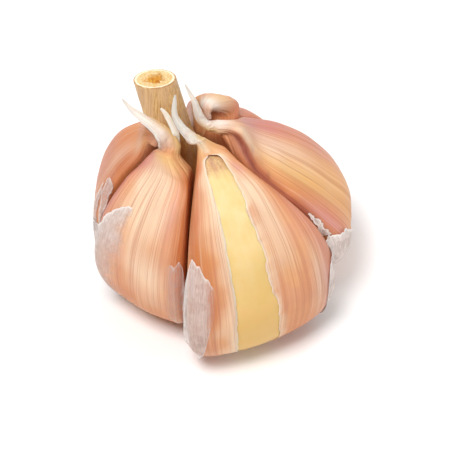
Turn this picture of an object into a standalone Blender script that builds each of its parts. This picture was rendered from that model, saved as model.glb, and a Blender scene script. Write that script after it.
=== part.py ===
"""A bulb of hardneck garlic with most of its outer wrappers pulled away: six cloves in their skins, standing in
a ring round a stiff cut stem, on the root plate that holds them all. One front clove's skin has split, and its
flesh shows. Sizes are in millimetres until a mesh is made, and then metres. The origin is the middle of the
root plate's flat underside; +Z runs up beside the stem, and -Y is the side of the two large front cloves."""

import math
from dataclasses import dataclass

import bmesh
import bpy
from mathutils import Vector
from mathutils.bvhtree import BVHTree

MM = 0.001

# ---- Driving sizes --------------------------------------------------------------------------------------

# The stem leans away from the large cloves on the right. Its last point is the middle of the cut.
STEM_RADIUS = 4.0
STEM_CURVE = (
    (0.2, 0.0, 5.4),
    (-0.2, 0.0, 14.0),
    (-1.6, 0.2, 24.0),
    (-3.6, 0.4, 31.5),
    (-5.5, 0.8, 37.5),
    (-6.9, 1.4, 43.0),
    (-8.3, 2.0, 48.9),
)
STEM_CUT = Vector((-0.06, 0.21, 0.98)).normalized()
STEM_SIDES = 20
PITH_RADIUS = 1.5
PITH_DEPTH = 4.0

# The root plate, turned about Z: a flat callus in the middle of its underside and a cone on which the cloves
# stand, as radii and heights. The trimmed roots end level with the callus.
PLATE_PROFILE = ((5.2, 0.0), (5.6, 0.7), (8.4, 0.7), (9.0, 1.3), (9.0, 2.1), (5.2, 4.7))
PLATE_SIDES = 40
ROOT_COUNT = 14
ROOT_RING = 7.1
ROOT_RADIUS = 0.7
ROOT_HEIGHT = 1.5

TOUCH_GAP = 0.35
SKIN_WALL = 0.5
WRAPPER_WALL = 0.45

# A clove's outline in the upright plane through its ridge, from its foot on the root plate to its neck. Each
# row is the outer edge's distance from the bulb's middle and height, the inner edge's height, and the width,
# as shares of the clove's reach, height, height and width.
OUTLINE = (
    (0.62, 0.010, 0.150, 0.62),
    (0.85, 0.090, 0.215, 0.88),
    (0.98, 0.260, 0.330, 1.00),
    (1.00, 0.450, 0.470, 1.00),
    (0.91, 0.640, 0.610, 0.94),
    (0.73, 0.810, 0.740, 0.80),
    (0.52, 0.925, 0.850, 0.58),
)
UNDERSIDE = 1.2
INNER_LIFT = 0.7
FOOT_OUTER = (10.0, 2.6)
FOOT_INNER = (6.4, 5.0)
FOOT_WIDTH = 4.2
INNER_RADIUS = 5.0
ROUNDNESS = 2.35
SIDE_SHARPNESS = 6.0
NECK_FIRMNESS = 0.9
SECTION_POINTS = 20
STEPS_PER_ROW = 2

# The planes that neighbouring cloves press against, as compass angles from +X towards +Y, at the floor and
# where they turn at the height of the tips.
TIP_HEIGHT = 38.0
FRONT_GROOVE = (-97, -97)
RIGHT_FRONT = (-25, -47)
RIGHT_BACK = (38, 46)
BACK_GROOVE = (100, 100)
LEFT_BACK = (151, 151)
LEFT_FRONT = (204, 204)


@dataclass
class Clove:
    """One clove: the compass angle of its ridge, and the planes on its right and left; how far its belly
    reaches out, how high its shoulder stands and its half width; how much fuller its foot and its shoulder
    are than the outline above; how far its top leans away from the bulb's middle; and its dried tip, as
    points with the half width and half thickness there."""

    name: str
    ridge: float
    sides: tuple
    reach: float
    height: float
    width: float
    low: float
    high: float
    stand_off: float
    tip: tuple


CLOVES = (
    Clove("clove_front_left", -126.4, (LEFT_FRONT, FRONT_GROOVE), 22.0, 36.0, 14.0, 0.06, 0.0, 0.0, (
        ((-5.6, -5.6, 36.8), 2.6, 2.0),
        ((-5.8, -5.6, 39.6), 1.6, 0.8),
        ((-8.0, -5.2, 43.0), 1.2, 0.5),
        ((-11.4, -4.0, 45.2), 0.8, 0.4),
        ((-14.4, -2.0, 47.5), 0.3, 0.3),
    )),
    Clove("clove_front_right", -61, (FRONT_GROOVE, RIGHT_FRONT), 29.0, 36.5, 18.5, 0.2, -0.04, 0.0, (
        ((0.8, -5.4, 38.0), 2.6, 2.0),
        ((-1.6, -5.6, 41.0), 1.3, 0.8),
        ((-3.8, -5.0, 44.0), 0.8, 0.5),
        ((-4.5, -4.2, 47.4), 0.6, 0.4),
        ((-4.3, -3.6, 49.9), 0.3, 0.3),
    )),
    Clove("clove_right", 3, (RIGHT_FRONT, RIGHT_BACK), 30.0, 35.5, 15.0, -0.28, -0.30, 2.0, (
        ((6.2, -1.0, 38.4), 2.8, 2.2),
        ((2.6, -1.1, 39.8), 1.3, 0.9),
        ((0.2, -1.1, 42.0), 0.9, 0.6),
        ((-0.9, -0.6, 45.6), 0.6, 0.4),
        ((-2.6, 1.0, 48.4), 0.3, 0.3),
    )),
    Clove("clove_back", 77, (RIGHT_BACK, BACK_GROOVE), 24.5, 36.0, 11.3, 0.0, -0.12, 1.0, (
        ((3.2, 9.3, 35.8), 3.4, 2.1),
        ((1.8, 7.4, 37.2), 1.3, 0.9),
        ((1.6, 6.4, 36.4), 0.9, 0.6),
        ((1.8, 5.6, 35.2), 0.5, 0.4),
    )),
    Clove("clove_back_left", 125, (BACK_GROOVE, LEFT_BACK), 20.0, 30.0, 12.0, 0.0, 0.0, 2.0, (
        ((-5.4, 8.0, 30.6), 2.6, 2.0),
        ((-5.4, 7.4, 32.8), 1.4, 0.9),
        ((-6.0, 7.8, 35.0), 0.9, 0.6),
        ((-7.0, 8.6, 37.0), 0.4, 0.35),
    )),
    Clove("clove_left", 178, (LEFT_BACK, LEFT_FRONT), 20.7, 37.0, 12.5, 0.0, 0.14, 3.0, (
        ((-9.8, -1.2, 37.1), 2.9, 2.0),
        ((-9.0, -2.6, 38.3), 1.6, 1.0),
        ((-8.6, -3.2, 39.0), 0.9, 0.6),
        ((-8.3, -3.5, 39.5), 0.5, 0.35),
    )),
)
SPLIT_CLOVE = CLOVES[1]

# The split in that clove's skin, from its foot to its neck: how far along the clove, and the section angles of
# the left and right torn edges, with 0 at the ridge.
SPLIT = (
    (0.00, -16, -6),
    (0.30, -25, 4),
    (0.55, -27, 3),
    (0.72, -24, -1),
    (0.86, -21, -3),
    (1.00, -18, 3),
)

# What is left of the outer wrappers, cast onto the cloves from a point inside the bulb: compass angles of the
# ends as seen from there, and how far up each scrap reaches at even steps from the first to the second, all
# in degrees above the level of that point.
INSIDE = Vector((4.0, 0.0, 14.0))
WRAPPER_FOOT = -28
WRAPPER_ROWS = 8
WRAPPERS = (
    ("wrapper_left", 180, 224, (4, 14, 32, 36, 18, 26, 34, 22, 2)),
    ("wrapper_front", 245, 273, (8, 24, -6, 28, 23, 19, 10, -6)),
    ("wrapper_right", 316, 352, (2, 14, 17, 13, 8, -4)),
    ("wrapper_back", 62, 126, (-14, 6, 16, 10, 22, 14, 18, 4, -12)),
)

SHEATH = (((-4.0, -4.9, 38.0), 0.9), ((-4.6, -4.6, 41.4), 0.7), ((-5.9, -4.0, 44.4), 0.6), ((-7.1, -3.5, 46.4), 0.3))
SHEATH_HALF_THICKNESS = 0.3


# ---- Sections and lofts ---------------------------------------------------------------------------------


def heading(degrees):
    """The level unit vector at a compass angle."""
    turn = math.radians(degrees)
    return Vector((math.cos(turn), math.sin(turn), 0))


def smooth(rows, steps):
    """Catmull-Rom through rows of numbers, with that many steps between each two."""
    rows = [tuple(row) for row in rows]
    padded = [rows[0], *rows, rows[-1]]
    made = []
    for before, start, end, after in zip(padded, padded[1:], padded[2:], padded[3:]):
        for step in range(steps):
            t = step / steps
            made.append([
                0.5 * (2 * b + (c - a) * t + (2 * a - 5 * b + 4 * c - d) * t**2 + (3 * b - a - 3 * c + d) * t**3)
                for a, b, c, d in zip(before, start, end, after)
            ])
    return [*made, list(rows[-1])]


def between(rows, at):
    """Each of the other numbers in rows sorted by their first number, read off straight lines at one value."""
    for low, high in zip(rows, rows[1:]):
        if at <= high[0]:
            break
    share = min(max((at - low[0]) / (high[0] - low[0]), 0.0), 1.0)
    return [a + (b - a) * share for a, b in zip(low[1:], high[1:])]


def clear_of_stem(point):
    """A point moved level, away from the stem, until it is clear of it."""
    x, y = between([(z, x, y) for x, y, z in STEM_CURVE], point.z)
    away = Vector((point.x - x, point.y - y, 0))
    least = STEM_RADIUS * 1.03 + TOUCH_GAP
    if away.length >= least:
        return point
    return point + away.normalized() * (least - away.length)


def body_rows(clove):
    """A clove's stations as centre, depth direction, half depth, half width and how firmly its neighbours
    flatten it, from its foot to the end of its dried tip."""
    out = heading(clove.ridge)
    rows = []
    edges = [(FOOT_OUTER, FOOT_INNER, FOOT_WIDTH)]
    for outer, outer_height, inner_height, width in OUTLINE:
        inner = INNER_RADIUS + clove.stand_off * inner_height
        fuller = 1 + clove.low * max(0, 1 - 2 * outer_height) ** 2 + clove.high * max(0, 2 * outer_height - 1)
        edges.append((
            (clove.reach * outer * fuller, clove.height * outer_height + UNDERSIDE),
            (inner, clove.height * inner_height + INNER_LIFT),
            clove.width * width,
        ))
    for (outer, top), (inner, low), width in edges:
        far = out * outer + Vector((0, 0, top))
        near = out * inner + Vector((0, 0, low))
        depth = far - near
        rows.append([*((far + near) / 2), *depth.normalized(), depth.length / 2, width, 1.0])
    up_and_out = Vector((out.x, out.y, 0.6)).normalized()
    for i, (place, half_width, half_depth) in enumerate(clove.tip):
        rows.append([*place, *up_and_out, half_depth, half_width, NECK_FIRMNESS if i == 0 else 0.0])
    return rows


NECK = (len(OUTLINE) + 1) * STEPS_PER_ROW


def superellipse(turn, power):
    """A point on a unit superellipse, as depth and width."""
    c, s = math.cos(turn), math.sin(turn)
    return math.copysign(abs(c) ** (2 / power), c), math.copysign(abs(s) ** (2 / power), s)


def flattened(point, clove, firmness):
    """A point pressed inside the clove's own sector, so that neighbours lie flat against each other."""
    out, aside = heading(clove.ridge), heading(clove.ridge + 90)
    along, across = point.dot(out), point.dot(aside)
    foot, top = clove.sides[1] if across > 0 else clove.sides[0]
    side = foot + (top - foot) * max(point.z / TIP_HEIGHT, 0) ** 4
    turn = abs((side - clove.ridge + 180) % 360 - 180)
    limit = max(along * math.tan(math.radians(turn)) - TOUCH_GAP / 2, 0.3)
    pressed = across / (1 + (abs(across) / limit) ** SIDE_SHARPNESS) ** (1 / SIDE_SHARPNESS)
    return point + aside * (pressed - across) * firmness


def section(clove, station, turns, inset=0.0, spread=1.0):
    """Points round one station of a clove, at section angles in degrees from the ridge, drawn in by inset and
    then spread about the station's centre."""
    *numbers, half_depth, half_width, firmness = station
    centre, depth = Vector(numbers[:3]), Vector(numbers[3:]).normalized()
    aside = heading(clove.ridge + 90)
    firmness = min(max(firmness, 0.0), 1.0)
    points = []
    for turn in turns:
        rho, across = superellipse(math.radians(turn), ROUNDNESS)
        wedge = 1 + 0.22 * rho * firmness
        outer = centre + depth * rho * half_depth + aside * across * half_width * wedge
        outer = clear_of_stem(flattened(outer, clove, firmness))
        inward = (depth * rho / half_depth + aside * across / half_width).normalized()
        points.append(centre + (outer - inward * inset - centre) * spread)
    return points


def all_round(count):
    return [360 * i / count for i in range(count)]


def clove_rings(clove, inset=0.0):
    """The clove's surface as rings of points from its foot to its tip, drawn in by inset all round."""
    stations = smooth(body_rows(clove), STEPS_PER_ROW)
    return [section(clove, station, all_round(SECTION_POINTS), inset) for station in stations]


def circle(centre, side, other, radius, count):
    """A ring of points about a centre, in the plane of two unit vectors."""
    return [
        centre + (side * math.cos(math.tau * i / count) + other * math.sin(math.tau * i / count)) * radius
        for i in range(count)
    ]


# ---- Meshes and materials -------------------------------------------------------------------------------


def shown(name, mesh, material):
    """A finished bmesh as an object in the scene."""
    data = bpy.data.meshes.new(name)
    mesh.to_mesh(data)
    mesh.free()
    data.shade_smooth()
    data.materials.append(material)
    made = bpy.data.objects.new(name, data)
    bpy.context.scene.collection.objects.link(made)
    return made


def solid(name, rings, material):
    """A closed object skinned over rings of points."""
    mesh = bmesh.new()
    loops = [[mesh.verts.new(point * MM) for point in ring] for ring in rings]
    for low, high in zip(loops, loops[1:]):
        for i in range(len(low)):
            j = (i + 1) % len(low)
            mesh.faces.new((low[i], low[j], high[j], high[i]))
    mesh.faces.new(reversed(loops[0]))
    mesh.faces.new(loops[-1])
    bmesh.ops.recalc_face_normals(mesh, faces=mesh.faces)
    return shown(name, mesh, material)


def sheet(name, outer, inner, material):
    """A thin closed object between two grids of points of the same size."""
    mesh = bmesh.new()
    grids = [[[mesh.verts.new(point * MM) for point in row] for row in grid] for grid in (outer, inner)]
    rows, columns = len(outer), len(outer[0])
    for grid in grids:
        for i in range(rows - 1):
            for j in range(columns - 1):
                mesh.faces.new((grid[i][j], grid[i][j + 1], grid[i + 1][j + 1], grid[i + 1][j]))
    front, back = grids
    rim = [(0, j) for j in range(columns)] + [(i, columns - 1) for i in range(1, rows)]
    rim += [(rows - 1, j) for j in reversed(range(columns - 1))] + [(i, 0) for i in reversed(range(1, rows - 1))]
    for (i, j), (k, n) in zip(rim, rim[1:] + rim[:1]):
        mesh.faces.new((front[i][j], front[k][n], back[k][n], back[i][j]))
    bmesh.ops.recalc_face_normals(mesh, faces=mesh.faces)
    return shown(name, mesh, material)


def combine(target, other, operation):
    """A Boolean with a helper object, which is hidden."""
    other.hide_render = True
    other.display_type = "WIRE"
    made = target.modifiers.new(other.name, "BOOLEAN")
    made.operation = operation
    made.solver = "EXACT"
    made.object = other


def finish(name, colour, roughness):
    """A plain material."""
    made = bpy.data.materials.new(name)
    made.use_nodes = True
    shader = made.node_tree.nodes["Principled BSDF"]
    shader.inputs["Base Color"].default_value = (*colour, 1.0)
    shader.inputs["Roughness"].default_value = roughness
    return made


# ---- The bulb -------------------------------------------------------------------------------------------


def root_plate(material):
    """The plate that the cloves and the stem grow from, with a ring of roots trimmed level with it."""
    x, y = Vector((1, 0, 0)), Vector((0, 1, 0))
    rings = [circle(Vector((0, 0, height)), x, y, radius, PLATE_SIDES) for radius, height in PLATE_PROFILE]
    plate = solid("root_plate", rings, material)
    roots = bmesh.new()
    for i in range(ROOT_COUNT):
        made = bmesh.ops.create_cone(
            roots, cap_ends=True, segments=8,
            radius1=ROOT_RADIUS * MM, radius2=ROOT_RADIUS * MM, depth=ROOT_HEIGHT * MM,
        )
        place = heading(360 * i / ROOT_COUNT) * ROOT_RING + Vector((0, 0, ROOT_HEIGHT / 2))
        bmesh.ops.translate(roots, verts=made["verts"], vec=place * MM)
    combine(plate, shown("trimmed_roots", roots, material), "UNION")


def stem(material):
    """The stiff flower stem, cut nearly level, with its soft pith dried back into a hollow."""
    path = [Vector(place) for place in smooth(STEM_CURVE, 2)]
    rings = []
    for i, place in enumerate(path):
        along = (path[min(i + 1, len(path) - 1)] - path[max(i - 1, 0)]).normalized()
        side = along.cross(Vector((0, 1, 0))).normalized()
        rings.append(circle(place, side, along.cross(side), STEM_RADIUS, STEM_SIDES))
    mouth = circle(path[-1], side, along.cross(side), PITH_RADIUS, STEM_SIDES)
    for ring in (rings[-1], mouth):
        ring[:] = [point - along * (point - path[-1]).dot(STEM_CUT) / along.dot(STEM_CUT) for point in ring]
    floor = circle(path[-1] - along * PITH_DEPTH, side, along.cross(side), PITH_RADIUS * 0.7, STEM_SIDES)
    solid("stem", [*rings, mouth, floor], material)


def sheath(material):
    """The stub of an inner wrapper, standing up against the stem."""
    x, y = Vector((1, 0, 0)), Vector((0, 1, 0))
    rings = []
    for *place, half_width in smooth([(*place, half_width) for place, half_width in SHEATH], 2):
        rings.append([
            Vector(place) + x * math.cos(turn) * half_width + y * math.sin(turn) * SHEATH_HALF_THICKNESS
            for turn in (math.tau * i / 8 for i in range(8))
        ])
    solid("stem_sheath", rings, material)


def split_clove(clove, skin_material, flesh_material):
    """The clove whose skin has split down its face: a skin with an open slot, and the flesh inside it."""
    stations = smooth(body_rows(clove), STEPS_PER_ROW)
    skin = solid(clove.name + "_skin", clove_rings(clove), skin_material)
    hollow = clove_rings(clove, SKIN_WALL)[: NECK + 1]
    below = [point - (hollow[1][i] - point).normalized() for i, point in enumerate(hollow[0])]
    combine(skin, solid("skin_hollow", [below, *hollow[1:]], skin_material), "DIFFERENCE")
    slices = []
    for i, station in enumerate(stations[: NECK + 1]):
        left, right = between(SPLIT, i / NECK)
        face = section(clove, station, (left, (left + right) / 2, right), spread=1.4)
        slices.append([Vector(station[:3]), *face])
    slices[0] = [point - (slices[1][i] - point).normalized() * 2 for i, point in enumerate(slices[0])]
    combine(skin, solid("skin_split", slices, skin_material), "DIFFERENCE")
    flesh = clove_rings(clove, SKIN_WALL + TOUCH_GAP)[:NECK]
    solid(clove.name + "_flesh", flesh, flesh_material)


def outermost(tree, turn, rise):
    """How far from the point inside the bulb its outer surface lies, in a direction given in degrees."""
    up = math.radians(rise)
    ray = heading(turn) * math.cos(up) + Vector((0, 0, math.sin(up)))
    far = 60.0
    hit = tree.ray_cast(INSIDE + ray * far, -ray)
    return ray, far - hit[3]


def wrapper(name, start, end, tops, tree, material):
    """A scrap of dry wrapper, bridging the grooves of the cloves it lies on."""
    columns = 2 * (len(tops) - 1)
    profile = [(i / (len(tops) - 1), top) for i, top in enumerate(tops)]
    rays, radii = [], []
    for i in range(columns + 1):
        share = i / columns
        top = between(profile, share)[0]
        found = [
            outermost(tree, start + (end - start) * share, WRAPPER_FOOT + (top - WRAPPER_FOOT) * j / WRAPPER_ROWS)
            for j in range(WRAPPER_ROWS + 1)
        ]
        rays.append([ray for ray, radius in found])
        radii.append([radius for ray, radius in found])
    outer, inner = [], []
    for i in range(columns + 1):
        near = radii[max(i - 1, 0) : i + 2]
        clear = [max(max(column[max(j - 1, 0) : j + 2]) for column in near) + TOUCH_GAP for j in range(WRAPPER_ROWS + 1)]
        inner.append([INSIDE + ray * radius for ray, radius in zip(rays[i], clear)])
        outer.append([INSIDE + ray * (radius + WRAPPER_WALL) for ray, radius in zip(rays[i], clear)])
    sheet(name, outer, inner, material)


def main():
    for old in list(bpy.data.objects):
        bpy.data.objects.remove(old)
    skin = finish("clove_skin", (0.62, 0.33, 0.22), 0.45)
    flesh = finish("clove_flesh", (0.83, 0.68, 0.36), 0.4)
    wood = finish("stem", (0.62, 0.45, 0.27), 0.6)
    cork = finish("root_plate", (0.45, 0.33, 0.2), 0.85)
    paper = finish("wrapper", (0.72, 0.62, 0.57), 0.6)

    root_plate(cork)
    stem(wood)
    sheath(paper)
    points, quads = [], []
    for clove in CLOVES:
        rings = clove_rings(clove)
        for i, ring in enumerate(rings):
            first = len(points)
            points += ring
            if i:
                quads += [
                    (first + j, first + (j + 1) % SECTION_POINTS,
                     first - SECTION_POINTS + (j + 1) % SECTION_POINTS, first - SECTION_POINTS + j)
                    for j in range(SECTION_POINTS)
                ]
        if clove is SPLIT_CLOVE:
            split_clove(clove, skin, flesh)
        else:
            solid(clove.name, rings, skin)
    outlines = BVHTree.FromPolygons(points, quads)
    for name, start, end, tops in WRAPPERS:
        wrapper(name, start, end, tops, outlines, paper)


main()
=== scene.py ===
"""A bulb of hardneck garlic with most of its outer wrappers pulled away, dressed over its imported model. Sizes
are in millimetres until a mesh is made. +Z runs up beside the stem, and -Y is the side of the two large front
cloves."""

import math
from dataclasses import dataclass, replace

import bmesh
import bpy
import numpy as np
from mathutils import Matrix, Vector
from mathutils.bvhtree import BVHTree


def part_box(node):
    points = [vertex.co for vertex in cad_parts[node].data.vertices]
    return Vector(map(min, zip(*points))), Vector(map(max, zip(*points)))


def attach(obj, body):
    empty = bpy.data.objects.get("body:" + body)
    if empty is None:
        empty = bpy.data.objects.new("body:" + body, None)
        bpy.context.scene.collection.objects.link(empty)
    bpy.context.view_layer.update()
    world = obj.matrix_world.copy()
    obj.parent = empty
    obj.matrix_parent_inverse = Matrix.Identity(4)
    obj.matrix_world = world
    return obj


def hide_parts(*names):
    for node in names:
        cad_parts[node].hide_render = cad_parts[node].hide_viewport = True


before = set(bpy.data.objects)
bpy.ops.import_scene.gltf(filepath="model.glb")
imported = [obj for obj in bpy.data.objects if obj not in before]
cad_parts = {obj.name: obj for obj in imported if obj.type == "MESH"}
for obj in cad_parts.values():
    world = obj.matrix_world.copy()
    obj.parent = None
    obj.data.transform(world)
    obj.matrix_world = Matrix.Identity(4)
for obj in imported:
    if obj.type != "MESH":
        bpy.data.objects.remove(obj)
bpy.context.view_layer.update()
MM = 0.001


# ---- The studio ---------------------------------------------------------------------------------------------
# A pale paper floor, large soft lights above and to both sides, and a long lens that looks down on the bulb.

LOOK_AT = Vector((4.95, -4.0, 13.4)) * MM
CAMERA_RISE = math.radians(45)
CAMERA_DISTANCE = 420 * MM
LENS = 162.8
SENSOR_WIDTH = 36
NEAREST_SEEN = 0.01
FLOOR_SIDE = 3.0
PAPER_WHITE = (0.97, 0.97, 0.97)
SKY_STRENGTH = 0.25

# Each light's name, its place and side in metres, and its power in watts.
LIGHTS = (
    ("key", (-0.16, -0.22, 0.60), 0.30, 3.8),
    ("fill", (0.50, -0.25, 0.38), 0.50, 0.9),
    ("back", (0.15, 0.45, 0.50), 0.45, 1.8),
)


def plain(name, colour, roughness):
    """A plain material with nothing drawn on it."""
    made = bpy.data.materials.new(name)
    made.use_nodes = True
    shader = made.node_tree.nodes["Principled BSDF"]
    shader.inputs["Base Color"].default_value = (*colour, 1)
    shader.inputs["Roughness"].default_value = roughness
    return made


def placed(name, data):
    """An object made of some data, linked into the scene at the origin."""
    made = bpy.data.objects.new(name, data)
    bpy.context.scene.collection.objects.link(made)
    return made


def soft_light(name, place, size, power):
    """A square light that faces the bulb."""
    data = bpy.data.lights.new(name, "AREA")
    data.size = size
    data.energy = power
    light = placed(name, data)
    light.location = place
    light.rotation_euler = (LOOK_AT - light.location).to_track_quat("-Z", "Y").to_euler()


half = FLOOR_SIDE / 2
paper = bpy.data.meshes.new("floor")
paper.from_pydata([(-half, -half, 0), (half, -half, 0), (half, half, 0), (-half, half, 0)], [], [(0, 1, 2, 3)])
paper.materials.append(plain("floor_paper", PAPER_WHITE, 0.8))
placed("floor", paper)

for light in LIGHTS:
    soft_light(*light)

world = bpy.data.worlds.new("studio")
bpy.context.scene.world = world
world.use_nodes = True
sky = world.node_tree.nodes["Background"]
sky.inputs["Color"].default_value = (1, 1, 1, 1)
sky.inputs["Strength"].default_value = SKY_STRENGTH

lens = bpy.data.cameras.new("camera")
lens.lens = LENS
lens.sensor_width = SENSOR_WIDTH
lens.clip_start = NEAREST_SEEN
camera = placed("camera", lens)
away = Vector((0, -math.cos(CAMERA_RISE), math.sin(CAMERA_RISE)))
camera.location = LOOK_AT + away * CAMERA_DISTANCE
camera.rotation_euler = (-away).to_track_quat("-Z", "Y").to_euler()
bpy.context.scene.camera = camera
bpy.context.scene.view_settings.view_transform = "Standard"


# ---- The root plate -----------------------------------------------------------------------------------------
# The corky disc that the stem and the cloves grow from. Its roots were trimmed level with the callus in the
# middle, so short fibrous stubs stand round it.

PLATE_RADIUS = (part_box("root_plate")[1] / MM).x

# The plate's section, from the middle of its underside to the middle of its top: shares of its radius, and
# heights.
PLATE_PROFILE = (
    (0.0, 0.10), (0.35, 0.02), (0.55, 0.06), (0.60, 0.60), (0.78, 0.85), (0.93, 0.75),
    (0.99, 1.30), (1.00, 2.00), (0.80, 3.30), (0.57, 4.50), (0.30, 4.60), (0.0, 4.60),
)
PLATE_ROWS = 70
PLATE_SIDES = 160
ROOT_COUNT = 46
ROOT_RING = (0.64, 0.93)
ROOT_RADIUS = 0.42
ROOT_HEIGHT = 1.5
ROOT_MIDDLE = 0.62
ROOT_LEAN = 0.28
ROOT_SIZES = ((0.6, 0.6, 0.75), (1.35, 1.35, 1.0))
CORK_DARK = (0.20, 0.11, 0.05)
CORK_PALE = (0.52, 0.37, 0.20)
CORK_GRIME = (0.33, 0.22, 0.13)


class Shade:
    """One output in a material's node tree. Arithmetic on it adds Math nodes, and node() adds any other."""

    # A Mix node's sockets for colours: its factor, its two colours, and its result.
    FACTOR, FIRST, SECOND, RESULT = 0, 6, 7, 2

    def __init__(self, tree, socket=None):
        self.tree = tree
        self.socket = socket

    def node(self, kind, settings=None, inputs=None, output=0):
        """A new node's output. Its settings are set first, and then its sockets' values or links."""
        made = self.tree.nodes.new(kind)
        for name, value in (settings or {}).items():
            setattr(made, name, value)
        for name, value in (inputs or {}).items():
            if isinstance(value, Shade):
                self.tree.links.new(value.socket, made.inputs[name])
            elif isinstance(value, tuple) and made.inputs[name].type == "RGBA":
                made.inputs[name].default_value = (*value, 1)
            else:
                made.inputs[name].default_value = value
        return Shade(self.tree, made.outputs[output])

    def maths(self, operation, *values):
        """A Math node on one or two values."""
        return self.node("ShaderNodeMath", {"operation": operation}, dict(enumerate(values)))

    def __add__(self, other):
        return self.maths("ADD", self, other)

    def __sub__(self, other):
        return self.maths("SUBTRACT", self, other)

    def __rsub__(self, other):
        return self.maths("SUBTRACT", other, self)

    def __mul__(self, other):
        return self.maths("MULTIPLY", self, other)

    def __abs__(self):
        return self.maths("ABSOLUTE", self)

    __radd__ = __add__
    __rmul__ = __mul__

    def between(self, low, high):
        """0 up to low, 1 from high, and a smooth step from one to the other."""
        return self.node(
            "ShaderNodeMapRange", {"interpolation_type": "SMOOTHSTEP"}, {"Value": self, 1: low, 2: high}
        )

    def mix(self, first, second):
        """The first colour where this is 0, and the second where it is 1."""
        sockets = {self.FACTOR: self, self.FIRST: first, self.SECOND: second}
        return self.node("ShaderNodeMix", {"data_type": "RGBA"}, sockets, self.RESULT)

    def value(self, name):
        """A number that the mesh keeps for each of its points."""
        return self.node("ShaderNodeAttribute", {"attribute_name": name}, output=2)

    def noise(self, vector, scale, detail=2.0, roughness=0.5):
        sockets = {"Vector": vector, "Scale": scale, "Detail": detail, "Roughness": roughness}
        return self.node("ShaderNodeTexNoise", {"noise_dimensions": "3D"}, sockets)

    def stretched(self, vector, *amounts):
        """A vector with each of its three numbers multiplied by its own amount."""
        return self.node("ShaderNodeVectorMath", {"operation": "MULTIPLY"}, {0: vector, 1: amounts})

    def times(self, vector, amount):
        """A vector multiplied by one amount."""
        return self.node("ShaderNodeVectorMath", {"operation": "SCALE"}, {0: vector, "Scale": amount})

    def place(self):
        """Where a point lies on the object, in millimetres."""
        return self.times(self.node("ShaderNodeTexCoord", output="Object"), 1 / MM)

    def grain_place(self):
        """The piece's own UV map: how far round it a point lies, and how far along it."""
        return self.node("ShaderNodeTexCoord", output="UV")


def material(name, draw, roughness=0.5, **constants):
    """A material whose colour, roughness and bump height come from draw(shade), which returns a dictionary."""
    made = bpy.data.materials.new(name)
    made.use_nodes = True
    tree = made.node_tree
    shader = tree.nodes["Principled BSDF"]
    shader.inputs["Roughness"].default_value = roughness
    for socket, value in constants.items():
        shader.inputs[socket.replace("_", " ")].default_value = value
    drawn = draw(Shade(tree))
    bump = drawn.pop("Bump", None)
    if bump:
        height, depth = bump
        drawn["Normal"] = Shade(tree).node(
            "ShaderNodeBump", {}, {"Strength": 1.0, "Distance": depth * MM, "Height": height}
        )
    for socket, value in drawn.items():
        tree.links.new(value.socket, shader.inputs[socket])
    return made


def draw_cork(shade):
    place = shade.place()
    fibre = shade.noise(place, 1.6, 6, 0.7)
    grime = shade.noise(place, 0.5, 3)
    colour = fibre.between(0.35, 0.7).mix(CORK_DARK, CORK_PALE)
    colour = (grime.between(0.45, 0.7) * 0.6).mix(colour, CORK_GRIME)
    return {"Base Color": colour, "Roughness": 0.7 + 0.25 * fibre, "Bump": (fibre, 0.35)}


def waves(turn, along, counts, seed, drift=1.2):
    """Ridges that run lengthwise and wander a little by drift, between about -1 and 1. Turn is in radians, and
    each count is a whole number of ridges round the piece."""
    chance = np.random.default_rng(seed)
    total = 0
    for count in counts:
        phase, pace, slip = chance.uniform(0, math.tau, 3)
        sway = drift * np.sin(along * (2.0 + pace) + slip) / count**0.5
        total = total + np.sin(count * turn + phase + sway * 2) * (0.75 + 0.25 * np.sin(3 * along + pace))
    return total / len(counts) ** 0.5 / 1.2


def grid_mesh(name, points, finish, values=None):
    """A mesh round rows and columns of points in millimetres, with both of its ends closed and a number or a
    grid of numbers kept for each key of values. Its UV map runs round it and along it."""
    rows, columns = points.shape[:2]
    row, column = np.meshgrid(np.arange(rows - 1), np.arange(columns), indexing="ij")
    following = (column + 1) % columns
    corners = np.stack([
        row * columns + column, row * columns + following,
        (row + 1) * columns + following, (row + 1) * columns + column,
    ], axis=-1).reshape(-1, 4)
    across = np.stack([column, column + 1, column + 1, column], axis=-1).reshape(-1, 4) / columns
    upward = np.stack([row, row, row + 1, row + 1], axis=-1).reshape(-1, 4) / (rows - 1)
    faces = corners.tolist()
    uv = list(zip(across.ravel().tolist(), upward.ravel().tolist()))
    ring = range(columns)
    for start, share, order in ((0, 0.0, ring[::-1]), ((rows - 1) * columns, 1.0, ring)):
        faces.append([start + i for i in order])
        uv += [(i / columns, share) for i in order]
    mesh = bpy.data.meshes.new(name)
    mesh.from_pydata((points.reshape(-1, 3) * MM).tolist(), [], faces)
    layer = mesh.uv_layers.new(name="UVMap")
    layer.data.foreach_set("uv", np.array(uv, np.float32).ravel())
    for key, value in (values or {}).items():
        shown = np.broadcast_to(value, points.shape[:2]).astype(np.float32)
        mesh.attributes.new(key, "FLOAT", "POINT").data.foreach_set("value", shown.ravel())
    mesh.shade_smooth()
    mesh.materials.append(finish)
    mesh.validate()
    return mesh


def smooth_rows(rows, at):
    """Catmull-Rom through rows of numbers, read at places counted in rows."""
    rows = np.array(rows, float)
    at = np.clip(np.asarray(at, float), 0, len(rows) - 1)
    start = np.minimum(at.astype(int), len(rows) - 2)
    t = (at - start)[:, None]
    padded = np.vstack([rows[:1], rows, rows[-1:]])
    a, b, c, d = (padded[start + i] for i in range(4))
    return 0.5 * (2 * b + (c - a) * t + (2 * a - 5 * b + 4 * c - d) * t**2 + (3 * b - a - 3 * c + d) * t**3)


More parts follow.
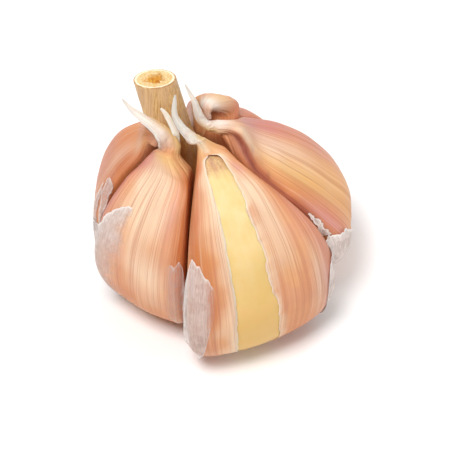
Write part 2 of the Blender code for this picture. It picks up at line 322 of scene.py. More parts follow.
def grown(name, tree, inputs):
    """What a node tree makes, as a plain mesh object. Inputs are set by their names in the tree."""
    carrier = placed(name, bpy.data.meshes.new(name))
    modifier = carrier.modifiers.new("grow", "NODES")
    modifier.node_group = tree
    for item in tree.interface.items_tree:
        if item.item_type == "SOCKET" and item.in_out == "INPUT" and item.name in inputs:
            modifier[item.identifier] = inputs[item.name]
    evaluated = carrier.evaluated_get(bpy.context.evaluated_depsgraph_get())
    mesh = bpy.data.meshes.new_from_object(evaluated)
    bpy.data.objects.remove(carrier)
    mesh.shade_smooth()
    return placed(name, mesh)


def root_ring(finish):
    """A node tree for a ring of short, leaning root stubs at random places between two radii."""
    tree = bpy.data.node_groups.new("root_ring", "GeometryNodeTree")
    for name, kind, value in (
        ("Count", "NodeSocketInt", 40), ("Inner radius", "NodeSocketFloat", 0.006),
        ("Outer radius", "NodeSocketFloat", 0.008), ("Root radius", "NodeSocketFloat", 0.0004),
        ("Root height", "NodeSocketFloat", 0.001), ("Seed", "NodeSocketInt", 1),
    ):
        tree.interface.new_socket(name, in_out="INPUT", socket_type=kind).default_value = value
    tree.interface.new_socket("Geometry", in_out="OUTPUT", socket_type="NodeSocketGeometry")
    source = tree.nodes.new("NodeGroupInput")

    def fill(socket, value):
        """Links an output to a socket, or sets the socket's value."""
        if isinstance(value, bpy.types.NodeSocket):
            tree.links.new(value, socket)
        else:
            socket.default_value = value

    def add(kind, settings=None, inputs=None):
        """A new node's first output."""
        made = tree.nodes.new(kind)
        for name, value in (settings or {}).items():
            setattr(made, name, value)
        for name, value in (inputs or {}).items():
            fill(made.inputs[name], value)
        return made.outputs[0]

    def maths(operation, *values):
        return add("ShaderNodeMath", {"operation": operation}, dict(enumerate(values)))

    def chance(kind, low, high, offset):
        """A random value for each root, from its own seed."""
        made = tree.nodes.new("FunctionNodeRandomValue")
        made.data_type = kind
        fill(made.inputs["Seed"], maths("ADD", source.outputs["Seed"], offset))
        ends = [socket for socket in made.inputs if socket.enabled and socket.name in ("Min", "Max")]
        for socket, value in zip(ends, (low, high)):
            fill(socket, value)
        return next(s for s in made.outputs if s.enabled)

    root_radius, root_height = source.outputs["Root radius"], source.outputs["Root height"]
    turn = chance("FLOAT", 0.0, math.tau, 1)
    radius = chance("FLOAT", source.outputs["Inner radius"], source.outputs["Outer radius"], 2)
    place = add("ShaderNodeCombineXYZ", {}, {
        0: maths("MULTIPLY", radius, maths("COSINE", turn)),
        1: maths("MULTIPLY", radius, maths("SINE", turn)),
        2: maths("MULTIPLY", root_height, ROOT_MIDDLE),
    })
    points = add("GeometryNodePoints", {}, {"Count": source.outputs["Count"]})
    moved = add("GeometryNodeSetPosition", {}, {"Geometry": points, "Position": place})
    stub = add("GeometryNodeMeshCone", {}, {
        "Vertices": 9, "Side Segments": 3, "Radius Top": root_radius, "Radius Bottom": root_radius,
        "Depth": root_height,
    })
    half_down = add("ShaderNodeCombineXYZ", {}, {2: maths("MULTIPLY", root_height, -0.5)})
    centred = add("GeometryNodeTransform", {}, {"Geometry": stub, "Translation": half_down})
    lean = chance("FLOAT_VECTOR", (-ROOT_LEAN, -ROOT_LEAN, 0.0), (ROOT_LEAN, ROOT_LEAN, math.tau), 3)
    size = chance("FLOAT_VECTOR", *ROOT_SIZES, 4)
    stubs = add("GeometryNodeInstanceOnPoints", {}, {
        "Points": moved, "Instance": centred, "Rotation": lean, "Scale": size})
    real = add("GeometryNodeRealizeInstances", {}, {"Geometry": stubs})
    dressed = add("GeometryNodeSetMaterial", {}, {"Geometry": real, "Material": finish})
    tree.links.new(dressed, tree.nodes.new("NodeGroupOutput").inputs[0])
    return tree


def dress(piece, slot, *nodes):
    """Ties a finished piece to the bulb's one body and hides the imported nodes it stands for. The slot is not
    used.
    """
    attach(piece, "root")
    if nodes:
        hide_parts(*nodes)


cork = material("root_plate_cork", draw_cork, 0.9)
turn = np.linspace(0, math.tau, PLATE_SIDES, endpoint=False)[None, :]
profile = smooth_rows(PLATE_PROFILE, np.linspace(0, len(PLATE_PROFILE) - 1, PLATE_ROWS))
share = np.linspace(0, 1, PLATE_ROWS)[:, None]
knobs = waves(turn, share * 2, (11, 17, 23, 31), 3) * 0.012 * np.sin(share * math.pi)
radius = np.maximum(profile[:, :1], 0.004) * PLATE_RADIUS * (1 + knobs)
height = profile[:, 1:2] + 0 * turn + 0.06 * waves(turn * 3, share * 9, (2, 3, 5), 8) * (profile[:, :1] > 0.1)
plate = np.stack([radius * np.cos(turn), radius * np.sin(turn), np.maximum(height, 0.02)], axis=-1)
dress(placed("root_plate_cork", grid_mesh("root_plate_cork", plate, cork)), "root_plate", "root_plate")

roots = grown("trimmed_roots", root_ring(cork), {
    "Count": ROOT_COUNT, "Inner radius": ROOT_RING[0] * PLATE_RADIUS * MM,
    "Outer radius": ROOT_RING[1] * PLATE_RADIUS * MM, "Root radius": ROOT_RADIUS * MM,
    "Root height": ROOT_HEIGHT * MM, "Seed": 5,
})
dress(roots, "root_plate")


# ---- The stem -----------------------------------------------------------------------------------------------
# The stiff, woody flower stalk, sawn off nearly level. Fine fibres run up its outside, its rim is pale, and the
# soft pith in the middle has dried back into a ragged amber hollow.

STEM_RADIUS = 4.0
STEM_CURVE = (
    (0.2, 0.0, 5.4), (-0.2, 0.0, 14.0), (-1.6, 0.2, 24.0), (-3.6, 0.4, 31.5),
    (-5.5, 0.8, 37.5), (-6.9, 1.4, 43.0), (-8.3, 2.0, 48.9),
)
STEM_CUT = (-0.06, 0.21, 0.98)
STEM_ROWS = 150
STEM_SIDES = 200
RIM_ROUNDING = 0.16
RIM_STEPS = 6
FACE_ROWS = 56
PITH_RADIUS = 1.45
PITH_DEPTH = 1.7
PITH_RIDGE = 0.12
HEIGHT_FROM = 26
BARK_DARK = (0.50, 0.25, 0.07)
BARK_PALE = (0.74, 0.46, 0.18)
BARK_ROSE = (0.66, 0.42, 0.26)
# Painted shade for the foot of the stem, where it sinks between the cloves.
BARK_PAINTED_SHADE = (0.34, 0.12, 0.025)
WOOD_DARK = (0.68, 0.42, 0.14)
WOOD_PALE = (0.84, 0.66, 0.37)
AMBER_DARK = (0.50, 0.18, 0.005)
AMBER_PALE = (0.80, 0.46, 0.08)
RIM_PALE = (0.97, 0.90, 0.70)
RIM_LINE = (0.36, 0.17, 0.05)


def unit(vectors):
    """Each vector at length one."""
    vectors = np.asarray(vectors, float)
    return vectors / np.maximum(np.linalg.norm(vectors, axis=-1, keepdims=True), 1e-9)


def bumps(places, size, seed, count=26):
    """Smooth random lumps over points in space, between about -1 and 1. Size is that of one lump."""
    chance = np.random.default_rng(seed)
    directions = unit(chance.normal(size=(count, 3)))
    lengths = math.tau / (size * chance.uniform(1.4, 3.2, count))
    phases = chance.uniform(0, math.tau, count)
    total = sum(np.sin(places @ (d * k) + p) for d, k, p in zip(directions, lengths, phases))
    return total / (count / 2) ** 0.5 / 1.6


def draw_stem(shade):
    place = shade.place()
    fibre = shade.noise(shade.stretched(place, 3.4, 3.4, 0.16), 1.0, 5, 0.6)
    broad = shade.noise(shade.stretched(place, 0.7, 0.7, 0.07), 1.0, 3)
    height = shade.value("height")
    inward = shade.value("inward")
    pith = shade.value("pith")
    bark = fibre.between(0.35, 0.65).mix(BARK_DARK, BARK_PALE)
    bark = (broad.between(0.42, 0.62) * 0.40).mix(bark, BARK_ROSE)
    # Painted shade: the bark darkens towards the bottom, where the stem sinks into shadow between the cloves.
    low = (1 - height.between(-0.2, 0.75)) * (0.55 + 0.45 * fibre.between(0.3, 0.7))
    bark = low.mix(bark, BARK_PAINTED_SHADE)
    sponge = shade.noise(place, 2.6, 5, 0.65)
    wood = sponge.between(0.36, 0.66).mix(WOOD_DARK, WOOD_PALE)
    amber = shade.noise(place, 1.9, 5, 0.7).between(0.3, 0.7).mix(AMBER_DARK, AMBER_PALE)
    wood = pith.mix(wood, amber)
    pale_rim = (inward.between(0.02, 0.05) * (1 - inward.between(0.09, 0.17))) * 0.8
    wood = pale_rim.mix(wood, RIM_PALE)
    colour = inward.between(0.005, 0.03).mix(bark, wood)
    patchy = shade.noise(place, 0.9, 3).between(0.36, 0.6)
    line = patchy * inward.between(0.0, 0.008) * (1 - inward.between(0.02, 0.04))
    colour = (line * 0.8).mix(colour, RIM_LINE)
    grain = fibre * (1 - inward.between(0.0, 0.05)) + sponge * inward.between(0.0, 0.05) * 1.6
    return {"Base Color": colour, "Roughness": 0.45 + 0.3 * inward.between(0, 0.1), "Bump": (grain, 0.12)}


stalk = material("stem_wood", draw_stem, 0.5, Subsurface_Weight=0.12, Subsurface_Scale=0.001)
path = smooth_rows(STEM_CURVE, np.linspace(0, len(STEM_CURVE) - 1, STEM_ROWS))
along = unit(np.gradient(path, axis=0))
side = unit(np.cross(along, (0, 1, 0)))
other = np.cross(along, side)
turn = -np.linspace(0, math.tau, STEM_SIDES, endpoint=False)
share = np.linspace(0, 1, STEM_ROWS)
flutes = waves(turn[None, :], share[:, None] * 3, (13, 21, 34, 47), 12) * 0.035
oval = 0.10 * np.cos(2 * turn + 0.6)[None, :] * share[:, None]
swell = 0.05 * np.sin(share * 9 + 1)[:, None]
radius = STEM_RADIUS - 0.06 + flutes + oval + swell
cut = unit(STEM_CUT)
top, axis = path[-1], along[-1]


def stem_ring(row, radii):
    """A ring round the stem's line at one of its rows."""
    ring = np.cos(turn)[:, None] * side[row] + np.sin(turn)[:, None] * other[row]
    return path[row] + ring * np.asarray(radii)[:, None]


def on_cut(ring, sink):
    """A ring slid along the stem's end onto the plane of the cut, and then sunk below it."""
    off = (ring - top) @ cut / (axis @ cut)
    return ring - off[:, None] * axis - np.broadcast_to(sink, off.shape)[:, None] * axis


# The outside, up to the first ring that would come near the cut.
rings = [stem_ring(row, radius[row]) for row in range(STEM_ROWS)]
near_top = [row for row in range(STEM_ROWS) if np.max((rings[row] - top) @ cut) > -0.6]
rings = rings[: near_top[0]]

# For each ring, how far in from the rim it lies and how much of it is pith.
kinds = [(0.0, 0.0)] * len(rings)
for drop in (0.5, 0.3, 0.18):
    rings.append(on_cut(stem_ring(-1, radius[-1]), drop))
    kinds.append((0.0, 0.0))
for bend in np.linspace(0, math.pi / 2, RIM_STEPS):
    rim = stem_ring(-1, radius[-1] - RIM_ROUNDING * (1 - math.cos(bend)))
    rings.append(on_cut(rim, RIM_ROUNDING * (1 - math.sin(bend))))
    kinds.append((0.004 * (1 + bend), 0.0))
ragged = 1.05 + 0.26 * waves(turn, 0.7, (2, 3, 5, 8), 4) + 0.16 * waves(turn, 0.2, (11, 17), 6)
for inward in np.linspace(0.02, 1, FACE_ROWS):
    radii = (radius[-1] - RIM_ROUNDING) * (1 - inward) + 0.01
    ring = on_cut(stem_ring(-1, radii), 0.0)
    hollow = np.clip(1.25 - radii / (PITH_RADIUS * ragged), 0, 1)
    depth = hollow**0.8 * PITH_DEPTH * (0.75 + 0.3 * bumps(ring, 0.55, 31))
    depth = depth - 0.28 * (hollow > 0) * bumps(ring, 0.3, 5)
    rough = 0.05 * bumps(ring, 0.35, 9) + 0.03 * bumps(ring, 0.16, 10)
    sunk = np.where(hollow > 0, np.maximum(depth, -PITH_RIDGE), 0)
    rings.append(on_cut(ring, sunk + rough * min(inward * 12, 1)))
    kinds.append((inward, hollow))
rings = np.stack(rings)
inward, hollow = (np.stack([np.broadcast_to(kind[i], STEM_SIDES) for kind in kinds]) for i in (0, 1))
height = (rings[..., 2] - HEIGHT_FROM) / (top[2] - HEIGHT_FROM)
made = grid_mesh(
    "stem_wood", rings, stalk, {"height": height, "inward": inward, "pith": np.clip(hollow * 2.2, 0, 1)}
)
dress(placed("stem_wood", made), "stem", "stem")


# ---- The sheath stub ----------------------------------------------------------------------------------------
# A torn stub of an inner wrapper that stands up against the front of the stem, dry and fibrous.

SHEATH = (
    ((-4.25, -4.9, 41.0), 0.62, 0.20), ((-4.5, -4.8, 41.7), 0.66, 0.22), ((-5.1, -4.4, 43.1), 0.58, 0.20),
    ((-5.8, -4.0, 44.5), 0.54, 0.18), ((-6.4, -3.7, 45.5), 0.40, 0.15), ((-7.1, -3.5, 46.3), 0.22, 0.10),
)
SHEATH_FOOT = ((-4.0, -4.9, 38.2), 0.5, 0.18)
RIBBON_SIDES = 48
RIBBON_STEPS = 14
RIBBON_SQUARENESS = 2.6
FRONTWARDS = (0.0, -0.6, 0.8)
PAPER_TAN = (0.78, 0.66, 0.50)
PAPER_PALE = (0.90, 0.86, 0.78)


def draw_paper(shade):
    fibre = shade.noise(shade.stretched(shade.grain_place(), 26.0, 3.0, 1.0), 1.0, 4, 0.6)
    colour = fibre.between(0.34, 0.66).mix(PAPER_TAN, PAPER_PALE)
    return {"Base Color": colour, "Bump": (fibre, 0.10)}


def ribbon(rows, facing):
    """Rings round a line of (place, half width, half thickness) rows, with their flat side facing a way."""
    at = np.linspace(0, len(rows) - 1, RIBBON_STEPS * (len(rows) - 1) + 1)
    numbers = smooth_rows([(*place, wide, thick) for place, wide, thick in rows], at)
    line = numbers[:, :3]
    onward = unit(np.gradient(line, axis=0))
    across = unit(np.cross(onward, facing))
    front = np.cross(across, onward)
    turn = np.linspace(0, math.tau, RIBBON_SIDES, endpoint=False)
    c, s = np.cos(turn), np.sin(turn)
    wide = np.sign(s) * np.abs(s) ** (2 / RIBBON_SQUARENESS)
    thick = np.sign(c) * np.abs(c) ** (2 / RIBBON_SQUARENESS)
    offset = across[:, None] * (wide[None] * numbers[:, 3:4])[..., None]
    return line[:, None] + offset + front[:, None] * (thick[None] * numbers[:, 4:5])[..., None]


sheath_paper = material("sheath_paper", draw_paper, 0.6, Subsurface_Weight=0.2, Subsurface_Scale=0.001)
stub = ribbon((SHEATH_FOOT, *SHEATH), FRONTWARDS)
stub = stub + 0.05 * bumps(stub, 0.7, 21)[..., None] * unit(np.array([0.2, -1, 0.3]))
dress(placed("sheath_stub", grid_mesh("sheath_stub", stub, sheath_paper)), "wrapper", "stem_sheath")


# ---- The whole cloves ---------------------------------------------------------------------------------------
# Five plump cloves in their own tight skins, pressed flat against each other where they meet. Each skin is thin,
# veined lengthwise from root plate to tip, and dries into a twisted papery tail that once ran up the stem.

# A clove's outline from its foot to its neck: the outer edge's distance from the middle and height, the inner
# edge's height, and the width, as shares of the clove's reach, height, height and width.
OUTLINE = (
    (0.62, 0.010, 0.150, 0.62), (0.85, 0.090, 0.215, 0.88), (0.98, 0.260, 0.330, 1.00),
    (1.00, 0.450, 0.470, 1.00), (0.91, 0.640, 0.610, 0.94), (0.73, 0.810, 0.740, 0.80),
    (0.52, 0.925, 0.850, 0.58),
)

# What is added to the heights of the outline's outer edge and of its inner edge.
UNDERSIDE = 1.2
INNER_LIFT = 0.7

# Where every clove starts, on the root plate: its outer edge's distance and height, its inner edge's, and its
# half width.
FOOT = (10.0, 2.6, 6.4, 5.0, 4.2)
INNER_RADIUS = 5.0
OUTER_FULLNESS = 0.22
ROUNDNESS = 2.35
SIDE_SHARPNESS = 6
NECK_FIRMNESS = 0.9
NECK_ROW = len(OUTLINE) + 1
BODY_STEPS = 24
TAIL_STEPS = 15
CLOVE_SIDES = 288
TIP_HEIGHT = 38.0
HALF_GAP = 0.19
LEAST_HALF_WIDTH = 0.3
STEM_CLEARANCE = 4.5
SKIN_LENGTH = 45.0
SKIN_ROUND = 0.19

# The groove at the front opens towards the tips: what is added to its half gap everywhere, and what more is
# added at the tips. The last two pairs are the height where the groove starts to open and over how much height
# it does, and the same for the flanks that soften.
GROOVE_WIDENING = (0.02, 0.36)
GROOVE_OPENS = (24, 12)
SOFTENS = (26, 9)

# The planes between neighbours, as compass angles from +X towards +Y at the floor and at the tips.
FRONT_GROOVE = (-96.3, -96.3)
RIGHT_FRONT = (-25, -47)
RIGHT_BACK = (38, 46)
BACK_GROOVE = (100, 100)
LEFT_BACK = (151, 151)
LEFT_FRONT = (204, 204)


@dataclass
class Clove:
    """A clove's ridge as a compass angle, and the planes on its right and left; how far its belly reaches out,
    its height and half width; how much fuller its foot and shoulder are than the outline; how far its top leans
    out; its dried tail, as places with half width and half thickness; and the way that the tail's flat side
    faces. Folds are creases in the skin, each a line of (share of the way up, section angle) with a height and a
    width in millimetres. Stains are soft patches of one colour, the skin's own tone for some and painted shade
    for
    others: its name, share, angle, length as a share, width in degrees, and strength. Crumple is how creased the
    neck and tail are, and soft is how much rounder the flanks turn near the neck."""

    name: str
    ridge: float
    sides: tuple
    reach: float
    height: float
    width: float
    low: float
    high: float
    stand_off: float
    tail: tuple
    facing: tuple
    seed: int
    folds: tuple = ()
    stains: tuple = ()
    crumple: float = 1.0
    soft: float = 0.0


FRONT_LEFT = Clove(
    "clove_front_left", -126.4, (LEFT_FRONT, FRONT_GROOVE), 22.0, 36.0, 14.4, 0.06, 0.0, 0.0,
    tail=(
        ((-5.4, -5.6, 36.6), 2.6, 1.9), ((-5.5, -5.6, 38.9), 2.0, 0.80), ((-6.7, -5.3, 41.4), 1.60, 0.42),
        ((-8.5, -4.9, 43.2), 1.20, 0.32), ((-10.6, -4.2, 44.6), 0.85, 0.26),
        ((-12.7, -3.2, 45.9), 0.50, 0.20),
        ((-14.4, -2.0, 47.4), 0.14, 0.09),
    ),
    facing=(0.25, -0.7, 0.75), seed=11,
    folds=(
        (((0.80, -40), (0.86, -30), (0.92, -18), (0.985, -14)), 0.55, 0.9),
        (((0.70, 54), (0.76, 50), (0.80, 44), (0.84, 42), (0.90, 36), (1.0, 30)), 0.42, 0.5),
        (((0.55, 62), (0.66, 56), (0.76, 60)), 0.28, 0.8),
        (((0.90, 8), (0.97, 6), (1.08, 0)), 0.22, 0.5),
        (((0.97, -40), (1.1, -60), (1.3, -70)), 0.15, 0.4),
    ),
    stains=(
        ("blush", 0.90, -30, 0.06, 18, 1.0), ("blush", 0.80, -40, 0.14, 14, 1.0),
        ("blush", 0.66, -46, 0.14, 16, 0.8),
        ("pale", 0.84, -6, 0.09, 16, 1.0), ("pale", 0.70, 0, 0.14, 20, 0.9),
        ("pale", 0.50, 12, 0.12, 16, 0.8),
        ("blush", 0.74, 18, 0.12, 6, 0.5), ("gold", 0.96, 8, 0.06, 40, 0.9),
        ("gold", 1.22, 75, 0.24, 55, 1.0),
        ("pale", 1.22, -80, 0.30, 60, 1.0), ("deep_tone_and_shade", 0.74, 40, 0.26, 11, 1.0),
        ("deep_tone_and_shade", 0.52, 36, 0.16, 14, 0.8),
        ("deep_tone_and_shade", 0.60, 12, 0.06, 12, 0.4), ("pale", 1.75, 0, 0.35, 400, 1.0),
        ("deep_tone_and_shade", 0.88, 32, 0.05, 10, 0.6),
    ),
)
RIGHT = Clove(
    "clove_right", 3, (RIGHT_FRONT, RIGHT_BACK), 30.0, 35.5, 15.0, -0.28, -0.30, 2.0,
    tail=(
        ((6.1, -1.0, 38.4), 2.4, 2.1), ((3.3, -1.0, 39.5), 1.25, 0.95), ((1.6, -1.2, 40.0), 0.98, 0.62),
        ((0.4, -1.2, 41.5), 0.95, 0.42), ((-0.3, -1.0, 43.4), 0.80, 0.32), ((-0.8, -0.6, 45.4), 0.56, 0.26),
        ((-1.7, 0.2, 46.9), 0.38, 0.20), ((-2.6, 1.0, 48.4), 0.12, 0.09),
    ),
    facing=(0.1, -0.6, 0.8), seed=23,
    folds=(
        (
            ((1.03, -56), (0.985, -38), (0.960, -43), (0.935, -34), (0.910, -40), (0.885, -33), (0.84, -38)),
            0.42, 0.55,
        ),
        (((1.02, -74), (0.95, -54), (0.86, -50), (0.76, -52)), -0.70, 1.3),
        (((0.95, -60), (0.88, -62)), 0.30, 0.5),
        (((1.0, -20), (0.90, -14), (0.80, -10)), 0.20, 0.8),
    ),
    stains=(
        ("blush", 0.84, 34, 0.12, 24, 1.0), ("blush", 0.95, 40, 0.06, 30, 0.9),
        ("blush", 0.60, -36, 0.10, 12, 1.0),
        ("blush", 0.60, 34, 0.25, 20, 0.6), ("gold", 0.76, -14, 0.16, 14, 0.9),
        ("gold", 0.55, 2, 0.20, 16, 0.6),
        ("pale", 0.84, 0, 0.07, 14, 0.9), ("pale", 0.74, 4, 0.07, 10, 0.6),
        ("pale", 0.97, -14, 0.05, 24, 0.6),
        ("pale", 1.12, 20, 0.16, 90, 0.9), ("gold", 1.24, -75, 0.14, 45, 1.0),
        # Painted shade, partly the skin's own deeper tone, on the flank that faces away from the light.
        ("deep_tone_and_shade", 0.93, -54, 0.10, 13, 1.0),
        ("deep_tone_and_shade", 0.80, -53, 0.14, 12, 1.0), ("deep_tone_and_shade", 0.66, -52, 0.12, 11, 0.8),
        ("blush", 0.94, -66, 0.06, 12, 0.9),
        ("pale", 1.80, 0, 0.40, 400, 1.0), ("deep_tone_and_shade", 0.70, -24, 0.10, 10, 0.4),
        # Painted shadow, darker still, on the same flank.
        ("painted_shade", 0.90, -52, 0.09, 13, 0.95), ("painted_shade", 0.79, -52, 0.12, 10, 0.8),
        ("painted_shade", 1.00, -70, 0.07, 22, 1.0),
        ("painted_shade", 0.66, -55, 0.12, 8, 0.6),
    ),
)
BACK = Clove(
    "clove_back", 77, (RIGHT_BACK, BACK_GROOVE), 24.5, 36.0, 11.3, 0.0, -0.12, 1.0,
    tail=(
        ((3.3, 9.5, 35.6), 4.0, 2.3), ((1.8, 7.4, 37.4), 1.6, 1.1), ((1.6, 6.3, 36.6), 0.98, 0.6),
        ((1.9, 5.3, 35.6), 0.55, 0.4),
    ),
    facing=(0.24, 0.82, 0.51), seed=37,
    folds=((((0.84, 130), (0.93, 150), (1.0, 170)), 0.3, 0.8),),
    stains=(
        ("blush", 0.86, -40, 0.12, 60, 0.6), ("pale", 1.14, 0, 0.10, 400, 0.9),
        ("gold", 1.06, -30, 0.05, 50, 0.8),
        ("blush", 0.99, -60, 0.06, 40, 0.7),
        ("deep_tone_and_shade", 0.90, -120, 0.12, 40, 0.6), ("blush", 0.5, 0, 0.3, 60, 0.5),
        ("gold", 0.85, 110, 0.20, 40, 1.0),
    ),
    crumple=0.5,
)
BACK_LEFT = Clove(
    "clove_back_left", 125, (BACK_GROOVE, LEFT_BACK), 20.0, 30.0, 12.0, 0.0, 0.0, 2.0,
    tail=(
        ((-5.4, 8.0, 30.6), 2.4, 1.9), ((-5.4, 7.4, 32.8), 1.3, 0.8), ((-6.0, 7.8, 35.0), 0.85, 0.45),
        ((-7.0, 8.6, 36.9), 0.3, 0.2),
    ),
    facing=(-0.5, 0.7, 0.5), seed=41,
    folds=((((0.8, 30), (0.9, 22), (1.0, 20)), 0.3, 0.8),),
    stains=(
        ("blush", 0.8, 20, 0.15, 40, 0.8), ("pale", 0.6, -10, 0.2, 30, 0.7), ("gold", 1.0, 0, 0.06, 90, 0.7),
        ("pale", 1.25, 0, 0.2, 400, 1.0),
    ),
)
LEFT = Clove(
    "clove_left", 178, (LEFT_BACK, LEFT_FRONT), 20.7, 37.0, 12.5, 0.0, 0.14, 3.0,
    tail=(
        ((-9.0, -1.3, 37.0), 3.3, 2.0), ((-8.1, -2.9, 38.4), 2.0, 1.3), ((-7.5, -3.6, 39.4), 1.1, 0.7),
        ((-7.0, -3.9, 40.1), 0.4, 0.3),
    ),
    facing=(-0.86, 0.03, 0.51), seed=53,
    stains=(
        ("pale", 0.90, 22, 0.06, 12, 0.7), ("gold", 1.00, 40, 0.08, 40, 0.3),
        # Painted shadow high on the flank beside the front-left clove.
        ("painted_shade", 0.93, 84, 0.10, 20, 0.4),
        ("deep_tone_and_shade", 0.78, 22, 0.14, 12, 0.5), ("pale", 0.78, 6, 0.08, 7, 0.6), ("blush", 0.62, 0, 0.20, 30, 0.3),
        ("blush", 0.55, -50, 0.3, 40, 0.4), ("deep_tone_and_shade", 0.62, 25, 0.25, 40, 0.45),
    ),
    crumple=0.25, soft=0.3,
)
WHOLE_CLOVES = (FRONT_LEFT, RIGHT, BACK, BACK_LEFT, LEFT)
# Blush, pale and gold are the skin's own tones. The fourth, a dark orange-brown, is partly the skin's own deeper
# tone and partly painted shade on shaded flanks and in the creases between cloves. The fifth is painted shadow,
# a dark purple-brown.
SKIN_TONES_AND_SHADE = ("blush", "pale", "gold", "deep_tone_and_shade", "painted_shade")

SKIN_DARK = (0.65, 0.225, 0.07)
SKIN_PALE = (0.77, 0.345, 0.135)
SKIN_ROSE = (0.62, 0.22, 0.125)
SKIN_GOLD = (0.80, 0.49, 0.18)
# Partly the skin's own deeper tone, partly painted shade.
SKIN_DEEP_TONE_AND_SHADE = (0.50, 0.12, 0.015)
SKIN_BLUSH = (0.62, 0.24, 0.205)
# Painted shadow: a dark purple-brown for flanks that face away from the light.
SKIN_PAINTED_SHADE = (0.30, 0.065, 0.04)
DRIED_TAN = (0.88, 0.66, 0.46)
DRIED_PALE = (0.97, 0.92, 0.84)
DRIED_GOLD = (0.82, 0.50, 0.18)
VEIN_RED = (0.55, 0.19, 0.09)
VEIN_PALE = (0.90, 0.68, 0.50)
VEIN_FINE = (0.44, 0.15, 0.08)
VEIN_DRAWN = (0.52, 0.17, 0.075)


def heading(degrees):
    """The level unit vector at a compass angle."""
    turn = math.radians(degrees)
    return np.array([math.cos(turn), math.sin(turn), 0.0])


def clove_rows(clove):
    """A clove's stations from its foot to the end of its tail: centre, depth direction, sideways direction, half
    depth, half width and how firmly its neighbours flatten it."""
    out, aside = heading(clove.ridge), heading(clove.ridge + 90)
    edges = [FOOT]
    for outer, outer_height, inner_height, width in OUTLINE:
        fuller = 1 + clove.low * max(0, 1 - 2 * outer_height) ** 2 + clove.high * max(0, 2 * outer_height - 1)
        edges.append((
            clove.reach * outer * fuller, clove.height * outer_height + UNDERSIDE,
            INNER_RADIUS + clove.stand_off * inner_height, clove.height * inner_height + INNER_LIFT,
            clove.width * width,
        ))
    rows = []
    for far_out, far_up, near_out, near_up, width in edges:
        far, near = out * far_out + (0, 0, far_up), out * near_out + (0, 0, near_up)
        length = np.linalg.norm(far - near)
        rows.append([*(far + near) / 2, *(far - near) / length, *aside, length / 2, width, 1.0])
    line = np.array([place for place, _, _ in clove.tail], float)
    onward = unit(np.gradient(line, axis=0))
    tilted = unit(out + (0, 0, 0.6))
    for i, (place, wide, thick) in enumerate(clove.tail):
        share = min(i / 2, 1.0)
        across = unit(np.cross(clove.facing, onward[i]))
        across = unit(aside * (1 - share) + across * share * (1 if across @ aside > 0 else -1))
        front = unit(tilted * (1 - share) + unit(np.cross(across, onward[i])) * share)
        rows.append([*place, *front, *across, thick, wide, NECK_FIRMNESS if i == 0 else 0.0])
    return rows


def clove_steps(clove):
    """Where the fine rings lie, counted in stations: evenly up the body, and then up the tail."""
    body = np.linspace(0, NECK_ROW, NECK_ROW * BODY_STEPS + 1)
    tail_rows = len(clove.tail) - 1
    return np.concatenate([body, NECK_ROW + np.linspace(0, tail_rows, tail_rows * TAIL_STEPS + 1)[1:]])


def climbed(height, start, over):
    """How far a height is from start to start + over: 0 below, and 1 above."""
    return np.clip((height - start) / over, 0, 1)


def clove_surface(clove, turns, at, inset=0.0):
    """Points of a clove's smooth surface at section angles in degrees, one set for each ring, with how hard its
    neighbours press there. The surface is drawn in by inset."""
    stations = smooth_rows(clove_rows(clove), at)
    centre, depth, across = stations[:, None, :3], unit(stations[:, None, 3:6]), unit(stations[:, None, 6:9])
    half_depth, half_width = stations[:, None, 9], stations[:, None, 10]
    firm = np.clip(stations[:, None, 11], 0, 1)
    c, s = np.cos(np.radians(turns)), np.sin(np.radians(turns))
    rho = np.sign(c) * np.abs(c) ** (2 / ROUNDNESS)
    wide = np.sign(s) * np.abs(s) ** (2 / ROUNDNESS)
    wide_by = half_width * (1 + OUTER_FULLNESS * rho * firm)
    points = centre + depth * (rho * half_depth)[..., None] + across * (wide * wide_by)[..., None]

    # Its neighbours' planes flatten its two sides, with a gap between the skins.
    out, aside = heading(clove.ridge), heading(clove.ridge + 90)
    forward, sideways = points @ out, points @ aside
    rise = np.clip(points[..., 2] / TIP_HEIGHT, 0, None) ** 4
    (right_foot, right_top), (left_foot, left_top) = clove.sides
    plane = np.where(
        sideways > 0, left_foot + (left_top - left_foot) * rise, right_foot + (right_top - right_foot) * rise
    )
    facing = np.radians(np.abs((plane - clove.ridge + 180) % 360 - 180))
    front_groove = np.abs(plane - FRONT_GROOVE[0]) < 1
    everywhere, at_tips = GROOVE_WIDENING
    opened = climbed(points[..., 2], *GROOVE_OPENS) ** 2
    gap = HALF_GAP + front_groove * (everywhere + at_tips * opened)
    limit = np.maximum(forward * np.tan(facing) - gap, LEAST_HALF_WIDTH)
    squeeze = np.abs(sideways) / limit
    sharp = SIDE_SHARPNESS * (1 - clove.soft * climbed(points[..., 2], *SOFTENS))
    pressed = sideways / (1 + squeeze**sharp) ** (1 / sharp)
    points = points + aside * ((pressed - sideways) * firm)[..., None]

    # Nothing comes nearer to the stem's line than its clearance.
    heights = [z for _, _, z in STEM_CURVE]
    line = np.stack([np.interp(points[..., 2], heights, [p[i] for p in STEM_CURVE]) for i in (0, 1)], axis=-1)
    away = points[..., :2] - line
    gone = np.maximum(np.linalg.norm(away, axis=-1, keepdims=True), 1e-6)
    points[..., :2] += away / gone * np.maximum(STEM_CLEARANCE - gone, 0)
    inward = unit(depth * (rho / half_depth)[..., None] + across * (wide / half_width)[..., None])
    drawn_in = np.minimum(inset, 0.45 * np.minimum(half_depth, half_width))
    return points - inward * drawn_in[..., None], np.clip(squeeze * firm, 0, 3)


def outward(points, wrap=True):
    """The unit normal at each point of a grid."""
    if wrap:
        across = np.roll(points, -1, axis=1) - np.roll(points, 1, axis=1)
    else:
        across = np.gradient(points, axis=1)
    return unit(np.cross(across, np.gradient(points, axis=0)))


